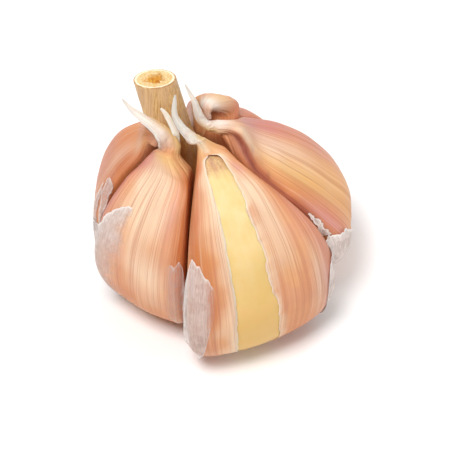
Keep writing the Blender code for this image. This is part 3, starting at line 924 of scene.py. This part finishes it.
def from_line(share, turn, line, round_by):
    """How far points of a skin lie from a drawn line, in about millimetres. A degree round the skin is round_by
    long."""
    best = np.full(np.broadcast(share, turn).shape, 99.0)
    for (s0, t0), (s1, t1) in zip(line, line[1:]):
        up, over = (s1 - s0) * SKIN_LENGTH, (t1 - t0) * round_by
        x, y = (share - s0) * SKIN_LENGTH, (turn - t0) * round_by
        part = np.clip((x * up + y * over) / (up * up + over * over + 1e-9), 0, 1)
        best = np.minimum(best, np.hypot(x - part * up, y - part * over))
    return best


def skin_relief(clove, points, share, turn, squeeze):
    """How far the dried skin stands out from the smooth clove: lengthwise ribs, pleats at the neck, twisted
    creases in the tail, folds, and shallow dents."""
    angle = np.radians(turn)
    up = share * 3
    seed = clove.seed
    free = 1 - np.clip(squeeze - 0.75, 0, 0.5) * 2
    body = np.clip(share / 0.2, 0, 1) * np.clip((1.02 - share) / 0.2, 0, 1)
    neck = clove.crumple * np.exp(-(((share - 1.0) / 0.13) ** 2))
    tail = clove.crumple * np.clip((share - 1.03) / 0.12, 0, 1)
    thin = np.clip((2.0 - share) / 0.8, 0.15, 1)
    veins = 0.6 - 1.4 * np.abs(waves(angle, up, (13, 19, 29), seed + 1, 1.0))
    relief = body * 0.10 * waves(angle, up, (5, 8, 11), seed)
    relief = relief + body * 0.05 * veins
    relief = relief + body * 0.16 * bumps(points, 6.0, seed + 2)
    relief = relief + neck * 0.10 * waves(angle, up * 2, (9, 13, 19), seed + 3)
    relief = relief + tail * thin * 0.08 * waves(angle, up * 3, (3, 5, 8), seed + 4, 2.2)
    relief = relief + tail * thin * 0.05 * bumps(points, 1.1, seed + 5)
    wobble = 1 + 0.35 * bumps(points, 2.2, seed + 7)
    round_by = SKIN_ROUND * np.clip(1.15 - share, 0.1, 1)
    for line, height, width in clove.folds:
        distance = from_line(share, (turn + 180) % 360 - 180, line, round_by)
        relief = relief + height * wobble * np.exp(-((distance / width) ** 2))
    return relief * free


def skin_tones_and_shade(clove, points, share, turn, squeeze):
    """How much of each colour the skin holds, with soft uneven edges: its own tones, and painted shade on its
    shaded flanks and in the creases between cloves.
    """
    around = (turn + 180) % 360 - 180
    uneven = bumps(points, 3.0, clove.seed + 8)
    found = {}
    for kind in SKIN_TONES_AND_SHADE:
        total = np.zeros(np.broadcast(share, turn).shape)
        for name, at, angle, length, width, strength in clove.stains:
            if name == kind:
                spot = ((share - at) / length) ** 2 + ((around - angle) / width) ** 2
                total = total + strength * np.exp(-spot * (1 + 0.25 * uneven))
        found[kind] = np.clip(total, 0, 1)
    papery = clove.crumple * np.clip((share - 1.07) / 0.22, 0, 1)
    found["pale"] = np.maximum(found["pale"], papery * (1 - 0.7 * found["gold"]))
    # Painted shade: the dark orange-brown is laid where neighbouring cloves press the skin, in the creases
    # between them, and fades out up the neck.
    pressed = np.clip((squeeze - 0.85) / 0.5, 0, 1)
    found["deep_tone_and_shade"] = np.maximum(found["deep_tone_and_shade"], 0.6 * pressed) * np.clip((1.2 - share) / 0.15, 0, 1)
    return found


def draw_skin(shade):
    around = shade.grain_place()
    place = shade.place()

    def lengthwise(across, along, detail=3, roughness=0.55):
        return shade.noise(shade.stretched(around, across, along, 1.0), 1.0, detail, roughness)

    blush, pale, gold, deep_tone_and_shade, painted_shade = (shade.value(name) for name in SKIN_TONES_AND_SHADE)
    broad = lengthwise(12, 2.0)
    streak = lengthwise(50, 1.2, 3)
    vein = lengthwise(160, 1.6, 3, 0.6)
    hair = lengthwise(320, 3.0, 2)
    fine = streak * 0.45 + vein * 0.55
    drawn = abs(lengthwise(105, 0.9, 1) - 0.5)
    cloud = shade.noise(place, 0.16, 3)
    dried = shade.value("dry")
    parched = dried.between(0.2, 0.9).mix(DRIED_TAN, DRIED_PALE)
    colour = broad.between(0.34, 0.66).mix(SKIN_DARK, SKIN_PALE)
    colour = (cloud.between(0.40, 0.62) * 0.40).mix(colour, SKIN_ROSE)
    colour = (gold * (0.6 + 0.4 * fine.between(0.35, 0.6))).mix(colour, SKIN_GOLD)
    colour = (pale * (0.66 + 0.34 * fine.between(0.38, 0.58))).mix(colour, parched)
    # Painted shade, partly the skin's own deeper tone: dark orange-brown on shaded flanks and in creases.
    colour = (deep_tone_and_shade * (0.7 + 0.3 * fine.between(0.58, 0.38))).mix(colour, SKIN_DEEP_TONE_AND_SHADE)
    colour = (blush * (0.66 + 0.34 * fine.between(0.60, 0.38))).mix(colour, SKIN_BLUSH)
    # Painted shadow: dark purple-brown on the flanks that face away from the light.
    colour = (painted_shade * (0.75 + 0.25 * fine.between(0.6, 0.4))).mix(colour, SKIN_PAINTED_SHADE)
    colour = (gold * dried * 0.9).mix(colour, DRIED_GOLD)
    colour = (vein.between(0.53, 0.64) * (0.42 - 0.40 * dried)).mix(colour, VEIN_RED)
    colour = (vein.between(0.46, 0.35) * (0.26 - 0.2 * painted_shade)).mix(colour, VEIN_PALE)
    colour = (hair.between(0.52, 0.68) * (0.24 - 0.22 * dried)).mix(colour, VEIN_FINE)
    line = drawn.between(0.030, 0.0) * broad.between(0.28, 0.5)
    colour = (line * (0.55 - 0.50 * dried)).mix(colour, VEIN_DRAWN)
    dry = (pale * 0.5 + 0.5 * dried).between(0.1, 0.9)
    height = vein * 0.5 + hair * 0.2 + streak * 0.7
    return {
        "Base Color": colour,
        "Roughness": 0.40 + 0.14 * streak + 0.14 * dry,
        "Bump": (height + drawn.between(0.04, 0.0) * 0.12, 0.18),
    }


clove_skin = material(
    "clove_skin", draw_skin, 0.45, Subsurface_Weight=0.08, Subsurface_Scale=0.001, Coat_Weight=0.05,
    Coat_Roughness=0.35,
)


def clove_grid(clove):
    """A whole clove's skin as a grid of points, with the numbers that its material reads."""
    at = clove_steps(clove)
    turn = np.linspace(-180, 180, CLOVE_SIDES, endpoint=False)[None, :]
    share = (at / NECK_ROW)[:, None]
    smooth, squeeze = clove_surface(clove, turn, at)
    relief = skin_relief(clove, smooth, share, turn, squeeze)
    points = smooth + outward(smooth) * relief[..., None]
    values = skin_tones_and_shade(clove, points, share, turn, squeeze)
    values["dry"] = np.clip((share - 0.95) / 0.2, 0, 1) + 0 * turn
    return points, values


grids = []
for clove in WHOLE_CLOVES:
    points, values = clove_grid(clove)
    grids.append(points)
    skinned = placed(clove.name + "_skinned", grid_mesh(clove.name, points, clove_skin, values))
    dress(skinned, "clove_skin", clove.name)


# ---- The split clove ----------------------------------------------------------------------------------------
# The largest clove. Its skin has torn from the neck down its face, with dry pale edges that curl a little, and
# the smooth waxy flesh shows between them.

SPLIT_CLOVE = Clove(
    "clove_front_right", -61, (FRONT_GROOVE, RIGHT_FRONT), 29.0, 36.5, 18.5, 0.2, -0.04, 0.0,
    tail=(
        ((0.6, -5.4, 38.2), 2.3, 1.9), ((-0.9, -5.6, 40.3), 1.35, 0.85), ((-2.4, -5.4, 42.0), 0.95, 0.55),
        ((-3.7, -5.0, 43.9), 0.72, 0.42), ((-4.5, -4.6, 45.8), 0.56, 0.32), ((-4.5, -4.2, 47.8), 0.44, 0.26),
        ((-4.3, -3.6, 49.7), 0.14, 0.10),
    ),
    facing=(0.1, -0.65, 0.75), seed=67,
    folds=(
        (((0.84, 40), (0.92, 34), (1.0, 34), (1.08, 40)), 0.40, 0.7),
        (((0.80, -50), (0.88, -44), (0.98, -46)), 0.28, 0.7),
        (((0.90, 16), (0.97, 18)), 0.15, 0.5),
    ),
    stains=(
        ("deep_tone_and_shade", 0.88, -44, 0.12, 14, 1.0), ("deep_tone_and_shade", 0.60, -46, 0.30, 14, 0.9),
        ("gold", 1.02, -50, 0.06, 40, 0.8),
        ("gold", 1.08, 60, 0.12, 50, 1.0), ("deep_tone_and_shade", 0.93, 34, 0.06, 12, 0.9),
        ("deep_tone_and_shade", 0.84, 33, 0.08, 6, 0.7),
        ("blush", 0.918, 13, 0.022, 6, 1.0), ("blush", 0.72, 30, 0.14, 10, 0.6),
        ("pale", 0.85, 9, 0.09, 8, 0.75),
        ("pale", 0.68, 8, 0.12, 8, 0.6), ("pale", 0.50, 26, 0.14, 4, 1.0), ("pale", 0.42, 33, 0.12, 3, 0.8),
        ("blush", 0.44, 38, 0.20, 14, 0.8), ("deep_tone_and_shade", 0.56, -30, 0.12, 9, 0.7),
        ("pale", 1.2, 0, 0.10, 100, 0.8),
        ("pale", 1.75, 0, 0.45, 400, 1.0),
    ),
)

# The torn edges, as how far up the clove and the section angles of the left and the right edge.
SPLIT = (
    (0.00, -10.0, -2.0), (0.15, -14.0, 1.0), (0.30, -17.0, 2.5), (0.56, -16.5, 0.0), (0.67, -16.0, 0.0),
    (0.80, -16.5, 0.0), (0.89, -18.5, 0.5), (0.925, -20.5, 2.5), (0.950, -20.5, 6.0), (0.961, -18.0, 6.5),
    (0.967, -12.0, 3.0), (0.971, -5.0, -5.0),
)
SKIN_THICKNESS = 0.12
TORN_SIDES = 172
FLESH_INSET = 0.14
FLESH_ROWS = 200
FLESH_SIDES = 200
FLESH_TIP = (0.945, 0.990)
FLESH_DARK = (0.80, 0.58, 0.24)
FLESH_PALE = (0.83, 0.65, 0.33)
FLESH_GRAIN = (0.86, 0.71, 0.42)
FLESH_AMBER = (0.74, 0.44, 0.11)
FLESH_TIP_BROWN = (0.60, 0.33, 0.15)
FLESH_TIP_LINES = (0.42, 0.20, 0.17)


def shell_mesh(name, outer, inner, finish, values, closed_from=None):
    """A thin closed skin between two grids of points. From the row closed_from on, its two long edges meet, and
    the skin becomes a tube with closed ends. It keeps a number for each key of values, and front, which is 1 on
    its outer side. Its UV map runs round it by values["around"], or else evenly, and along it."""
    rows, columns = outer.shape[:2]
    closed_from = rows if closed_from is None else closed_from
    index = np.arange(rows * columns).reshape(rows, columns)
    index[closed_from:, -1] = index[closed_from:, 0]
    size = rows * columns
    a, b, c, d = index[:-1, :-1], index[:-1, 1:], index[1:, 1:], index[1:, :-1]
    front = np.stack([a, b, c, d], axis=-1).reshape(-1, 4)
    faces = [front, front[:, ::-1] + size]

    def close_edge(low, high):
        """The narrow faces from an edge of the outer grid to the same edge of the inner one."""
        faces.append(np.stack([low, high, high + size, low + size], axis=-1))

    last = min(closed_from + 1, rows)
    close_edge(index[0, 1:], index[0, :-1])
    if closed_from == rows:
        close_edge(index[-1, :-1], index[-1, 1:])
    close_edge(index[: last - 1, 0], index[1:last, 0])
    close_edge(index[1:last, -1], index[: last - 1, -1])
    faces = np.concatenate(faces).tolist()
    if closed_from < rows:
        ring = index[-1, :-1].tolist()
        faces += [ring, [i + size for i in reversed(ring)]]
    points = np.concatenate([outer.reshape(-1, 3), inner.reshape(-1, 3)])
    mesh = bpy.data.meshes.new(name)
    mesh.from_pydata((points * MM).tolist(), [], faces)
    up = np.repeat(np.linspace(0, 1, rows), columns)
    around = values.pop("around", np.broadcast_to(np.linspace(0, 1, columns), (rows, columns))).ravel()
    uv = np.tile(np.stack([around, up], axis=-1), (2, 1))
    corners = np.empty(len(mesh.loops), np.int32)
    mesh.loops.foreach_get("vertex_index", corners)
    layer = mesh.uv_layers.new(name="UVMap")
    layer.data.foreach_set("uv", uv[corners].astype(np.float32).ravel())
    kept = {key: np.tile(np.broadcast_to(value, (rows, columns)).ravel(), 2) for key, value in values.items()}
    kept["front"] = np.repeat((1.0, 0.0), size)
    for key, value in kept.items():
        mesh.attributes.new(key, "FLOAT", "POINT").data.foreach_set("value", value.astype(np.float32))
    mesh.shade_smooth()
    mesh.materials.append(finish)
    mesh.validate()
    loose = bmesh.new()
    loose.from_mesh(mesh)
    bmesh.ops.delete(loose, geom=[v for v in loose.verts if not v.link_faces], context="VERTS")
    loose.to_mesh(mesh)
    loose.free()
    return placed(name, mesh)


def torn_line(at, pitches, divisors, chance):
    """How far a torn edge wanders along its line, as waves of several pitches."""
    starts = chance.uniform(0, math.tau, len(pitches))
    waves_made = zip(pitches, divisors, starts)
    return sum(np.sin(at * pitch + start) / divisor for pitch, divisor, start in waves_made)


def beside(distance, width):
    """1 at a line, falling smoothly to nothing over about twice a width."""
    return np.exp(-((distance / width) ** 2))


def torn_skin(clove):
    """The split clove's skin as outer and inner grids of points, its numbers, and the row where it closes."""
    at = clove_steps(clove)
    share = at / NECK_ROW
    left = np.interp(share, [row[0] for row in SPLIT], [row[1] for row in SPLIT])
    right = np.interp(share, [row[0] for row in SPLIT], [row[2] for row in SPLIT])
    closed_from = int(np.argmax(share > SPLIT[-1][0]))
    open_by = np.clip((right - left) / 6, 0, 1)
    chance = np.random.default_rng(clove.seed + 20)
    for edge, sign in ((left, 1), (right, -1)):
        tears = torn_line(share, (31, 73, 141, 260), (1.0, 1.6, 2.6, 4.0), chance)
        edge += sign * 0.28 * tears * open_by
    span = np.linspace(0, 1, TORN_SIDES + 1)[None, :]
    turn = right[:, None] + (360 + left - right)[:, None] * span
    share = share[:, None]
    smooth, squeeze = clove_surface(clove, turn, at)
    relief = skin_relief(clove, smooth, share, turn, squeeze)
    normal = outward(smooth, wrap=False)
    joined = unit(normal[closed_from:, 0] + normal[closed_from:, -1])
    normal[closed_from:, 0] = normal[closed_from:, -1] = joined

    # How far each point is from the torn edges, and the edges' raised, dry lips.
    steps = np.linalg.norm(np.diff(smooth, axis=1), axis=-1)
    from_right = np.concatenate([np.zeros((len(at), 1)), np.cumsum(steps, axis=1)], axis=1)
    from_left = from_right[:, -1:] - from_right
    edge = np.minimum(from_right, from_left)
    slit = open_by[:, None]
    high = np.clip((share - 0.80) / 0.1, 0, 1)
    relief = relief + slit * high * 0.34 * beside(from_right, 0.55)
    relief = relief + slit * high * 0.04 * beside(from_left, 0.45)
    relief = relief + slit * 0.03 * (beside(from_right, 0.5) + beside(from_left, 0.5))

    # Above the split, its line goes on as a shallow seam.
    above = np.clip((share - SPLIT[-1][0]) / 0.02, 0, 1) * np.clip((1.22 - share) / 0.10, 0, 1)
    relief = relief - above * 0.28 * beside(edge, 0.35)
    outer = smooth + normal * relief[..., None]
    room = smooth_rows(clove_rows(clove), at)[:, 9:11].min(axis=1)[:, None]
    wall = np.minimum(SKIN_THICKNESS, 0.35 * room)
    thinned = wall * (0.6 + 0.4 * np.clip(edge / 0.8, 0, 1))
    wall = np.where(np.arange(len(at))[:, None] < closed_from, thinned, wall)
    inner = outer - normal * wall[..., None]

    # The skin is bleached in a band along both edges, wider along the left one low down.
    values = skin_tones_and_shade(clove, outer, share, turn, squeeze)
    uneven = 1 + 0.35 * bumps(outer, 2.5, clove.seed + 30)
    low_band = np.clip((0.95 - share) / 0.08, 0, 1)
    band = slit * beside(from_left, (0.8 + 2.1 * low_band) * uneven)
    band = band + 0.9 * slit * beside(from_right, 1.0 * uneven)
    values["pale"] = np.clip(values["pale"] + band + above * beside(edge, 0.6), 0, 1)
    for kind in ("deep_tone_and_shade", "blush", "gold", "painted_shade"):
        values[kind] = values[kind] * (1 - np.clip(band, 0, 1))
    values["dry"] = np.clip((share - 0.95) / 0.2, 0, 1) + slit * 0.55 * beside(edge, 0.5)
    values["around"] = ((turn + 180) / 360) % 1.0001
    return outer, inner, values, closed_from


outer, inner, values, closed_from = torn_skin(SPLIT_CLOVE)
torn = shell_mesh("torn_skin", outer, inner, clove_skin, values, closed_from)
dress(torn, "clove_skin", SPLIT_CLOVE.name + "_skin")


def draw_flesh(shade):
    place = shade.place()
    grain = shade.noise(shade.stretched(shade.grain_place(), 60.0, 4.0, 1.0), 1.0, 3)
    cloud = shade.noise(place, 0.22, 3)
    tip, low = shade.value("tip"), shade.value("low")
    colour = cloud.between(0.3, 0.7).mix(FLESH_DARK, FLESH_PALE)
    colour = (grain.between(0.4, 0.7) * 0.25).mix(colour, FLESH_GRAIN)
    colour = (low * 0.9).mix(colour, FLESH_AMBER)
    brown = shade.noise(place, 1.4, 5, 0.65)
    colour = (tip * (0.6 + 0.4 * brown.between(0.35, 0.65))).mix(colour, FLESH_TIP_BROWN)
    colour = (tip * abs(grain - 0.5).between(0.03, 0.0) * 0.5).mix(colour, FLESH_TIP_LINES)
    pores = shade.noise(place, 3.2, 3)
    return {
        "Base Color": colour,
        "Roughness": 0.30 + 0.25 * tip + 0.08 * cloud,
        "Bump": (grain * 0.6 + pores * 0.4, 0.05),
    }


clove_flesh = material("clove_flesh", draw_flesh, 0.33, Subsurface_Weight=0.30, Subsurface_Scale=0.002)
at = np.linspace(0, NECK_ROW * FLESH_TIP[1], FLESH_ROWS)
share = (at / NECK_ROW)[:, None]
turn = np.linspace(-180, 180, FLESH_SIDES, endpoint=False)[None, :]
body, squeeze = clove_surface(SPLIT_CLOVE, turn, at, FLESH_INSET)
middle = smooth_rows(clove_rows(SPLIT_CLOVE), at)[:, None, :3]
blunt = np.clip((share - FLESH_TIP[0]) / (FLESH_TIP[1] - FLESH_TIP[0]), 0, 1)
rounded = np.sqrt(np.maximum(1 - blunt**2, 0.0004))[..., None]
body = middle + (body - middle) * rounded
relief = skin_relief(replace(SPLIT_CLOVE, folds=()), body, share, turn, squeeze) * (1 - blunt)
body = body + outward(body) * relief[..., None]
tip = np.clip((share - 0.905 + 0.012 * bumps(body, 1.2, 82)) / 0.035, 0, 1)
low = np.clip((0.74 - share) / 0.30, 0, 1)
flesh = grid_mesh("clove_flesh", body, clove_flesh, {"tip": tip, "low": low})
dress(placed("clove_flesh", flesh), "clove_flesh", SPLIT_CLOVE.name + "_flesh")


# ---- The wrapper scraps -------------------------------------------------------------------------------------
# What is left of the outer wrappers: dry, thin, greyish films that cling to the cloves low down, bridge the
# creases between them and end in torn edges. They are cast onto the cloves from a point inside the bulb.

INSIDE = np.array([4.0, 0.0, 14.0])
FILM_CLEARANCE = 0.10
FILM_THICKNESS = 0.06
FILM_STEP = 0.30
FILM_REACH = 25
FLOOR_GAP = 0.15
RAY_START = 60.0
FILM_TAN = (0.68, 0.56, 0.51)
FILM_PALE = (0.86, 0.78, 0.73)
FILM_ROSE = (0.72, 0.57, 0.54)
FILM_RIM = (0.94, 0.90, 0.85)
FILM_SCORCHED = (0.50, 0.30, 0.18)


@dataclass
class Scrap:
    """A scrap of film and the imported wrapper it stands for. Its lines are numbers in degrees as seen from the
    inside point: rows of (latitude, first compass angle, last compass angle), or where it is upright, columns of
    (compass angle, lowest latitude, highest latitude). It thins out over a share of its first and last side.
    Cover is how much it hides, and lift is how far its edges stand up."""

    name: str
    node: str
    upright: bool
    lines: tuple
    thin: tuple
    cover: float
    lift: float
    seed: int


SCRAPS = (
    Scrap("wrapper_left_film", "wrapper_left", False, (
        (-27, 170, 214), (-20, 172, 218), (-10, 176, 221), (0, 180, 223), (6, 184, 223), (11, 193, 223),
        (15, 200, 222), (19, 203.5, 221), (24, 205.5, 220), (29, 208, 219), (33, 211, 218),
        (35.5, 214, 216.5),
    ), (0.02, 0.55), 0.80, 0.08, 3),
    Scrap("wrapper_left_flake", "wrapper_left", False, (
        (2, 178, 192), (9, 182, 196), (15, 185, 196.5), (21, 187.5, 195), (27, 189.5, 193), (31, 190, 190.8),
    ), (0.1, 0.1), 0.48, 0.08, 4),
    Scrap("wrapper_left_strip", "wrapper_left", False, (
        (15, 198, 203.5), (20, 196.5, 203), (25, 195.0, 202), (30, 192.8, 200.5), (34, 191, 199),
        (36, 192.5, 197.8),
    ), (0.03, 0.03), 0.42, 0.06, 5),
    Scrap("wrapper_front_left_scrap", "wrapper_front", True, (
        (242, -8, 8), (243.5, -14, 17.5), (246, -16, 20.5), (248, -18, 19), (250, -20, 22.5), (252, -20, 19),
        (253.6, -18, 6),
    ), (0.4, 0.05), 0.32, 0.08, 6),
    Scrap("wrapper_front_scrap", "wrapper_front", True, (
        (255.8, -16, 12), (256.6, -20, 24), (258, -22, 29.5), (260, -22, 27), (262, -20, 25.5),
        (264, -14, 22.5),
        (266, -2, 20), (268, 8, 16.5), (269, 11, 14),
    ), (0.04, 0.35), 0.60, 0.10, 7),
    Scrap("wrapper_right_scrap", "wrapper_right", True, (
        (318, -22, -2), (322, -24, 9), (325, -26, 13), (328, -26, 15), (331, -26, 17), (333, -26, 13.5),
        (336, -26, 12.5), (339, -26, 13.5), (342, -26, 11), (345, -25, 9), (349, -24, 3), (353, -20, -8),
    ), (0.05, 0.05), 0.92, 0.25, 8),
    Scrap("wrapper_right_fleck", "wrapper_right", False, (
        (15, 329, 333.5), (19, 329.2, 332.6), (23, 329.0, 331.2), (27, 328.4, 330.2), (30, 328.6, 329.4),
    ), (0.1, 0.1), 0.75, 0.15, 9),
    Scrap("wrapper_back_film", "wrapper_back", True, (
        (62, -24, -14), (66, -26, 0), (70, -27, 6), (74, -27, 11), (78, -27, 16), (82, -27, 13),
        (86, -27, 10),
        (90, -27, 15), (94, -27, 22), (98, -27, 17), (102, -27, 14), (106, -27, 16), (110, -27, 18),
        (114, -27, 11),
        (118, -27, 4), (122, -26, -3), (126, -24, -12),
    ), (0.08, 0.08), 0.85, 0.2, 10),
)


def clove_tree():
    """Every clove's surface in millimetres, to cast the films onto."""
    points, faces = [], []
    for grid in [*grids, outer, body]:
        rows, columns = grid.shape[:2]
        index = len(points) + np.arange(rows * columns).reshape(rows, columns)
        index = np.concatenate([index, index[:, :1]], axis=1)
        a, b, c, d = index[:-1, :-1], index[:-1, 1:], index[1:, 1:], index[1:, :-1]
        points += grid.reshape(-1, 3).tolist()
        faces += np.stack([a, b, c, d], axis=-1).reshape(-1, 4).tolist()
    return BVHTree.FromPolygons(points, faces)


def filtered(radii, reach, pick):
    """The largest, smallest or mean of each number's neighbours within a few steps both ways, as pick says."""
    for axis in (0, 1):
        length = radii.shape[axis]
        near_by = [np.clip(np.arange(length) + step, 0, length - 1) for step in range(-reach, reach + 1)]
        radii = pick([radii.take(places, axis) for places in near_by], axis=0)
    return radii


def film(scrap, tree):
    """A scrap's outer and inner points, and the numbers that its material reads."""
    lines = np.array(scrap.lines, float)
    length = FILM_REACH * math.radians(lines[-1, 0] - lines[0, 0])
    reach = FILM_REACH * math.radians(np.max(lines[:, 2] - lines[:, 1]))
    steps, spans = int(length / FILM_STEP) + 8, int(reach / FILM_STEP) + 8
    at = np.linspace(lines[0, 0], lines[-1, 0], steps)
    first, last = (np.interp(at, lines[:, 0], lines[:, i]) for i in (1, 2))
    chance = np.random.default_rng(scrap.seed)
    for ends, size in ((first, 0.5), (last, 0.8)):
        ends += size * torn_line(at, (0.4, 0.9, 1.9, 3.3), (1.4, 1.8, 2.8, 4), chance)
    last = np.maximum(last, first + 0.3)
    span = np.linspace(0, 1, spans)[None, :]
    moved, fixed = first[:, None] + (last - first)[:, None] * span, at[:, None] + 0 * span
    around, rise = (fixed, moved) if scrap.upright else (moved, fixed)
    around, rise = np.radians(around), np.radians(rise)
    rays = np.stack([np.cos(rise) * np.cos(around), np.cos(rise) * np.sin(around), np.sin(rise)], axis=-1)

    # The distance to the skin, and the same once the film bridges its creases.
    found = []
    for ray in rays.reshape(-1, 3):
        hit = tree.ray_cast(Vector(INSIDE + ray * RAY_START), Vector(-ray))
        found.append(RAY_START - (hit[3] or RAY_START))
    skin = np.array(found).reshape(steps, spans)
    bridged = filtered(filtered(filtered(skin, 4, np.max), 4, np.min), 2, np.mean)
    places = INSIDE + rays * skin[..., None]
    crinkle = 0.10 * bumps(places, 1.6, scrap.seed + 40) + 0.04 * bumps(places, 0.6, scrap.seed + 41)
    start, end = at[:, None] - at[0] + 0 * span, at[-1] - at[:, None] + 0 * span
    across = np.minimum(span, 1 - span) * (last - first)[:, None]
    edge = np.minimum(np.minimum(start, end), across) * math.radians(FILM_REACH)
    rim = beside(edge, 0.5)
    lifted = scrap.lift * rim * (0.6 + 0.6 * bumps(places, 1.8, scrap.seed))
    radii = np.maximum(bridged + crinkle, skin + FILM_CLEARANCE) + lifted
    radii = np.maximum(radii, skin + FILM_CLEARANCE)
    outside, within = INSIDE + rays * (radii + FILM_THICKNESS)[..., None], INSIDE + rays * radii[..., None]
    raised = np.maximum(FLOOR_GAP - within[..., 2], 0)
    outside[..., 2] += raised
    within[..., 2] += raised
    side = (fixed - at[0]) / (at[-1] - at[0]) if scrap.upright else span
    begin, close = scrap.thin
    full = np.clip(side / max(begin, 0.01), 0, 1) * np.clip((1 - side) / max(close, 0.01), 0, 1)
    values = {
        "full": full * scrap.cover,
        "rim": rim,
        "streak": np.degrees(around) + 0 * span,
        "rise": np.degrees(rise),
    }
    if scrap.upright:
        outside, within = outside.swapaxes(0, 1), within.swapaxes(0, 1)
        values = {key: value.swapaxes(0, 1) for key, value in values.items()}
    return outside, within, values


def draw_film(shade):
    place = shade.place()
    streak, rise = shade.value("streak"), shade.value("rise")
    lines = shade.node("ShaderNodeCombineXYZ", {}, {0: streak * 2.4, 1: rise * 0.10})
    veins = shade.noise(lines, 1.0, 4, 0.6)
    fine = shade.noise(shade.times(lines, 2.6), 1.0, 3)
    cloud = shade.noise(place, 0.35, 4, 0.6)
    full, rim = shade.value("full"), shade.value("rim")
    colour = veins.between(0.36, 0.64).mix(FILM_TAN, FILM_PALE)
    colour = (cloud.between(0.5, 0.7) * 0.5).mix(colour, FILM_ROSE)
    colour = (rim * 0.65).mix(colour, FILM_RIM)
    colour = (cloud.between(0.62, 0.72) * rim * 0.6).mix(colour, FILM_SCORCHED)
    streaky = (full * 1.5 + veins * 0.7 - 0.35).between(0.05, 0.6)
    body = full * (0.72 + 0.28 * cloud.between(0.35, 0.6)) + 0.25 * rim + 0.25 * fine.between(0.55, 0.7)
    opacity = shade.value("front").between(0.4, 0.9) * streaky * body
    return {
        "Base Color": colour,
        "Alpha": shade.maths("MINIMUM", opacity, 1.0),
        "Roughness": 0.50 + 0.2 * cloud,
        "Bump": (veins * 0.7 + fine * 0.3, 0.08),
    }


dry_film = material("wrapper_film", draw_film, 0.55)
tree = clove_tree()
dressed = set()
for scrap in SCRAPS:
    over, under, values = film(scrap, tree)
    piece = shell_mesh(scrap.name, over, under, dry_film, values)
    dress(piece, "wrapper", *({scrap.node} - dressed))
    dressed.add(scrap.node)
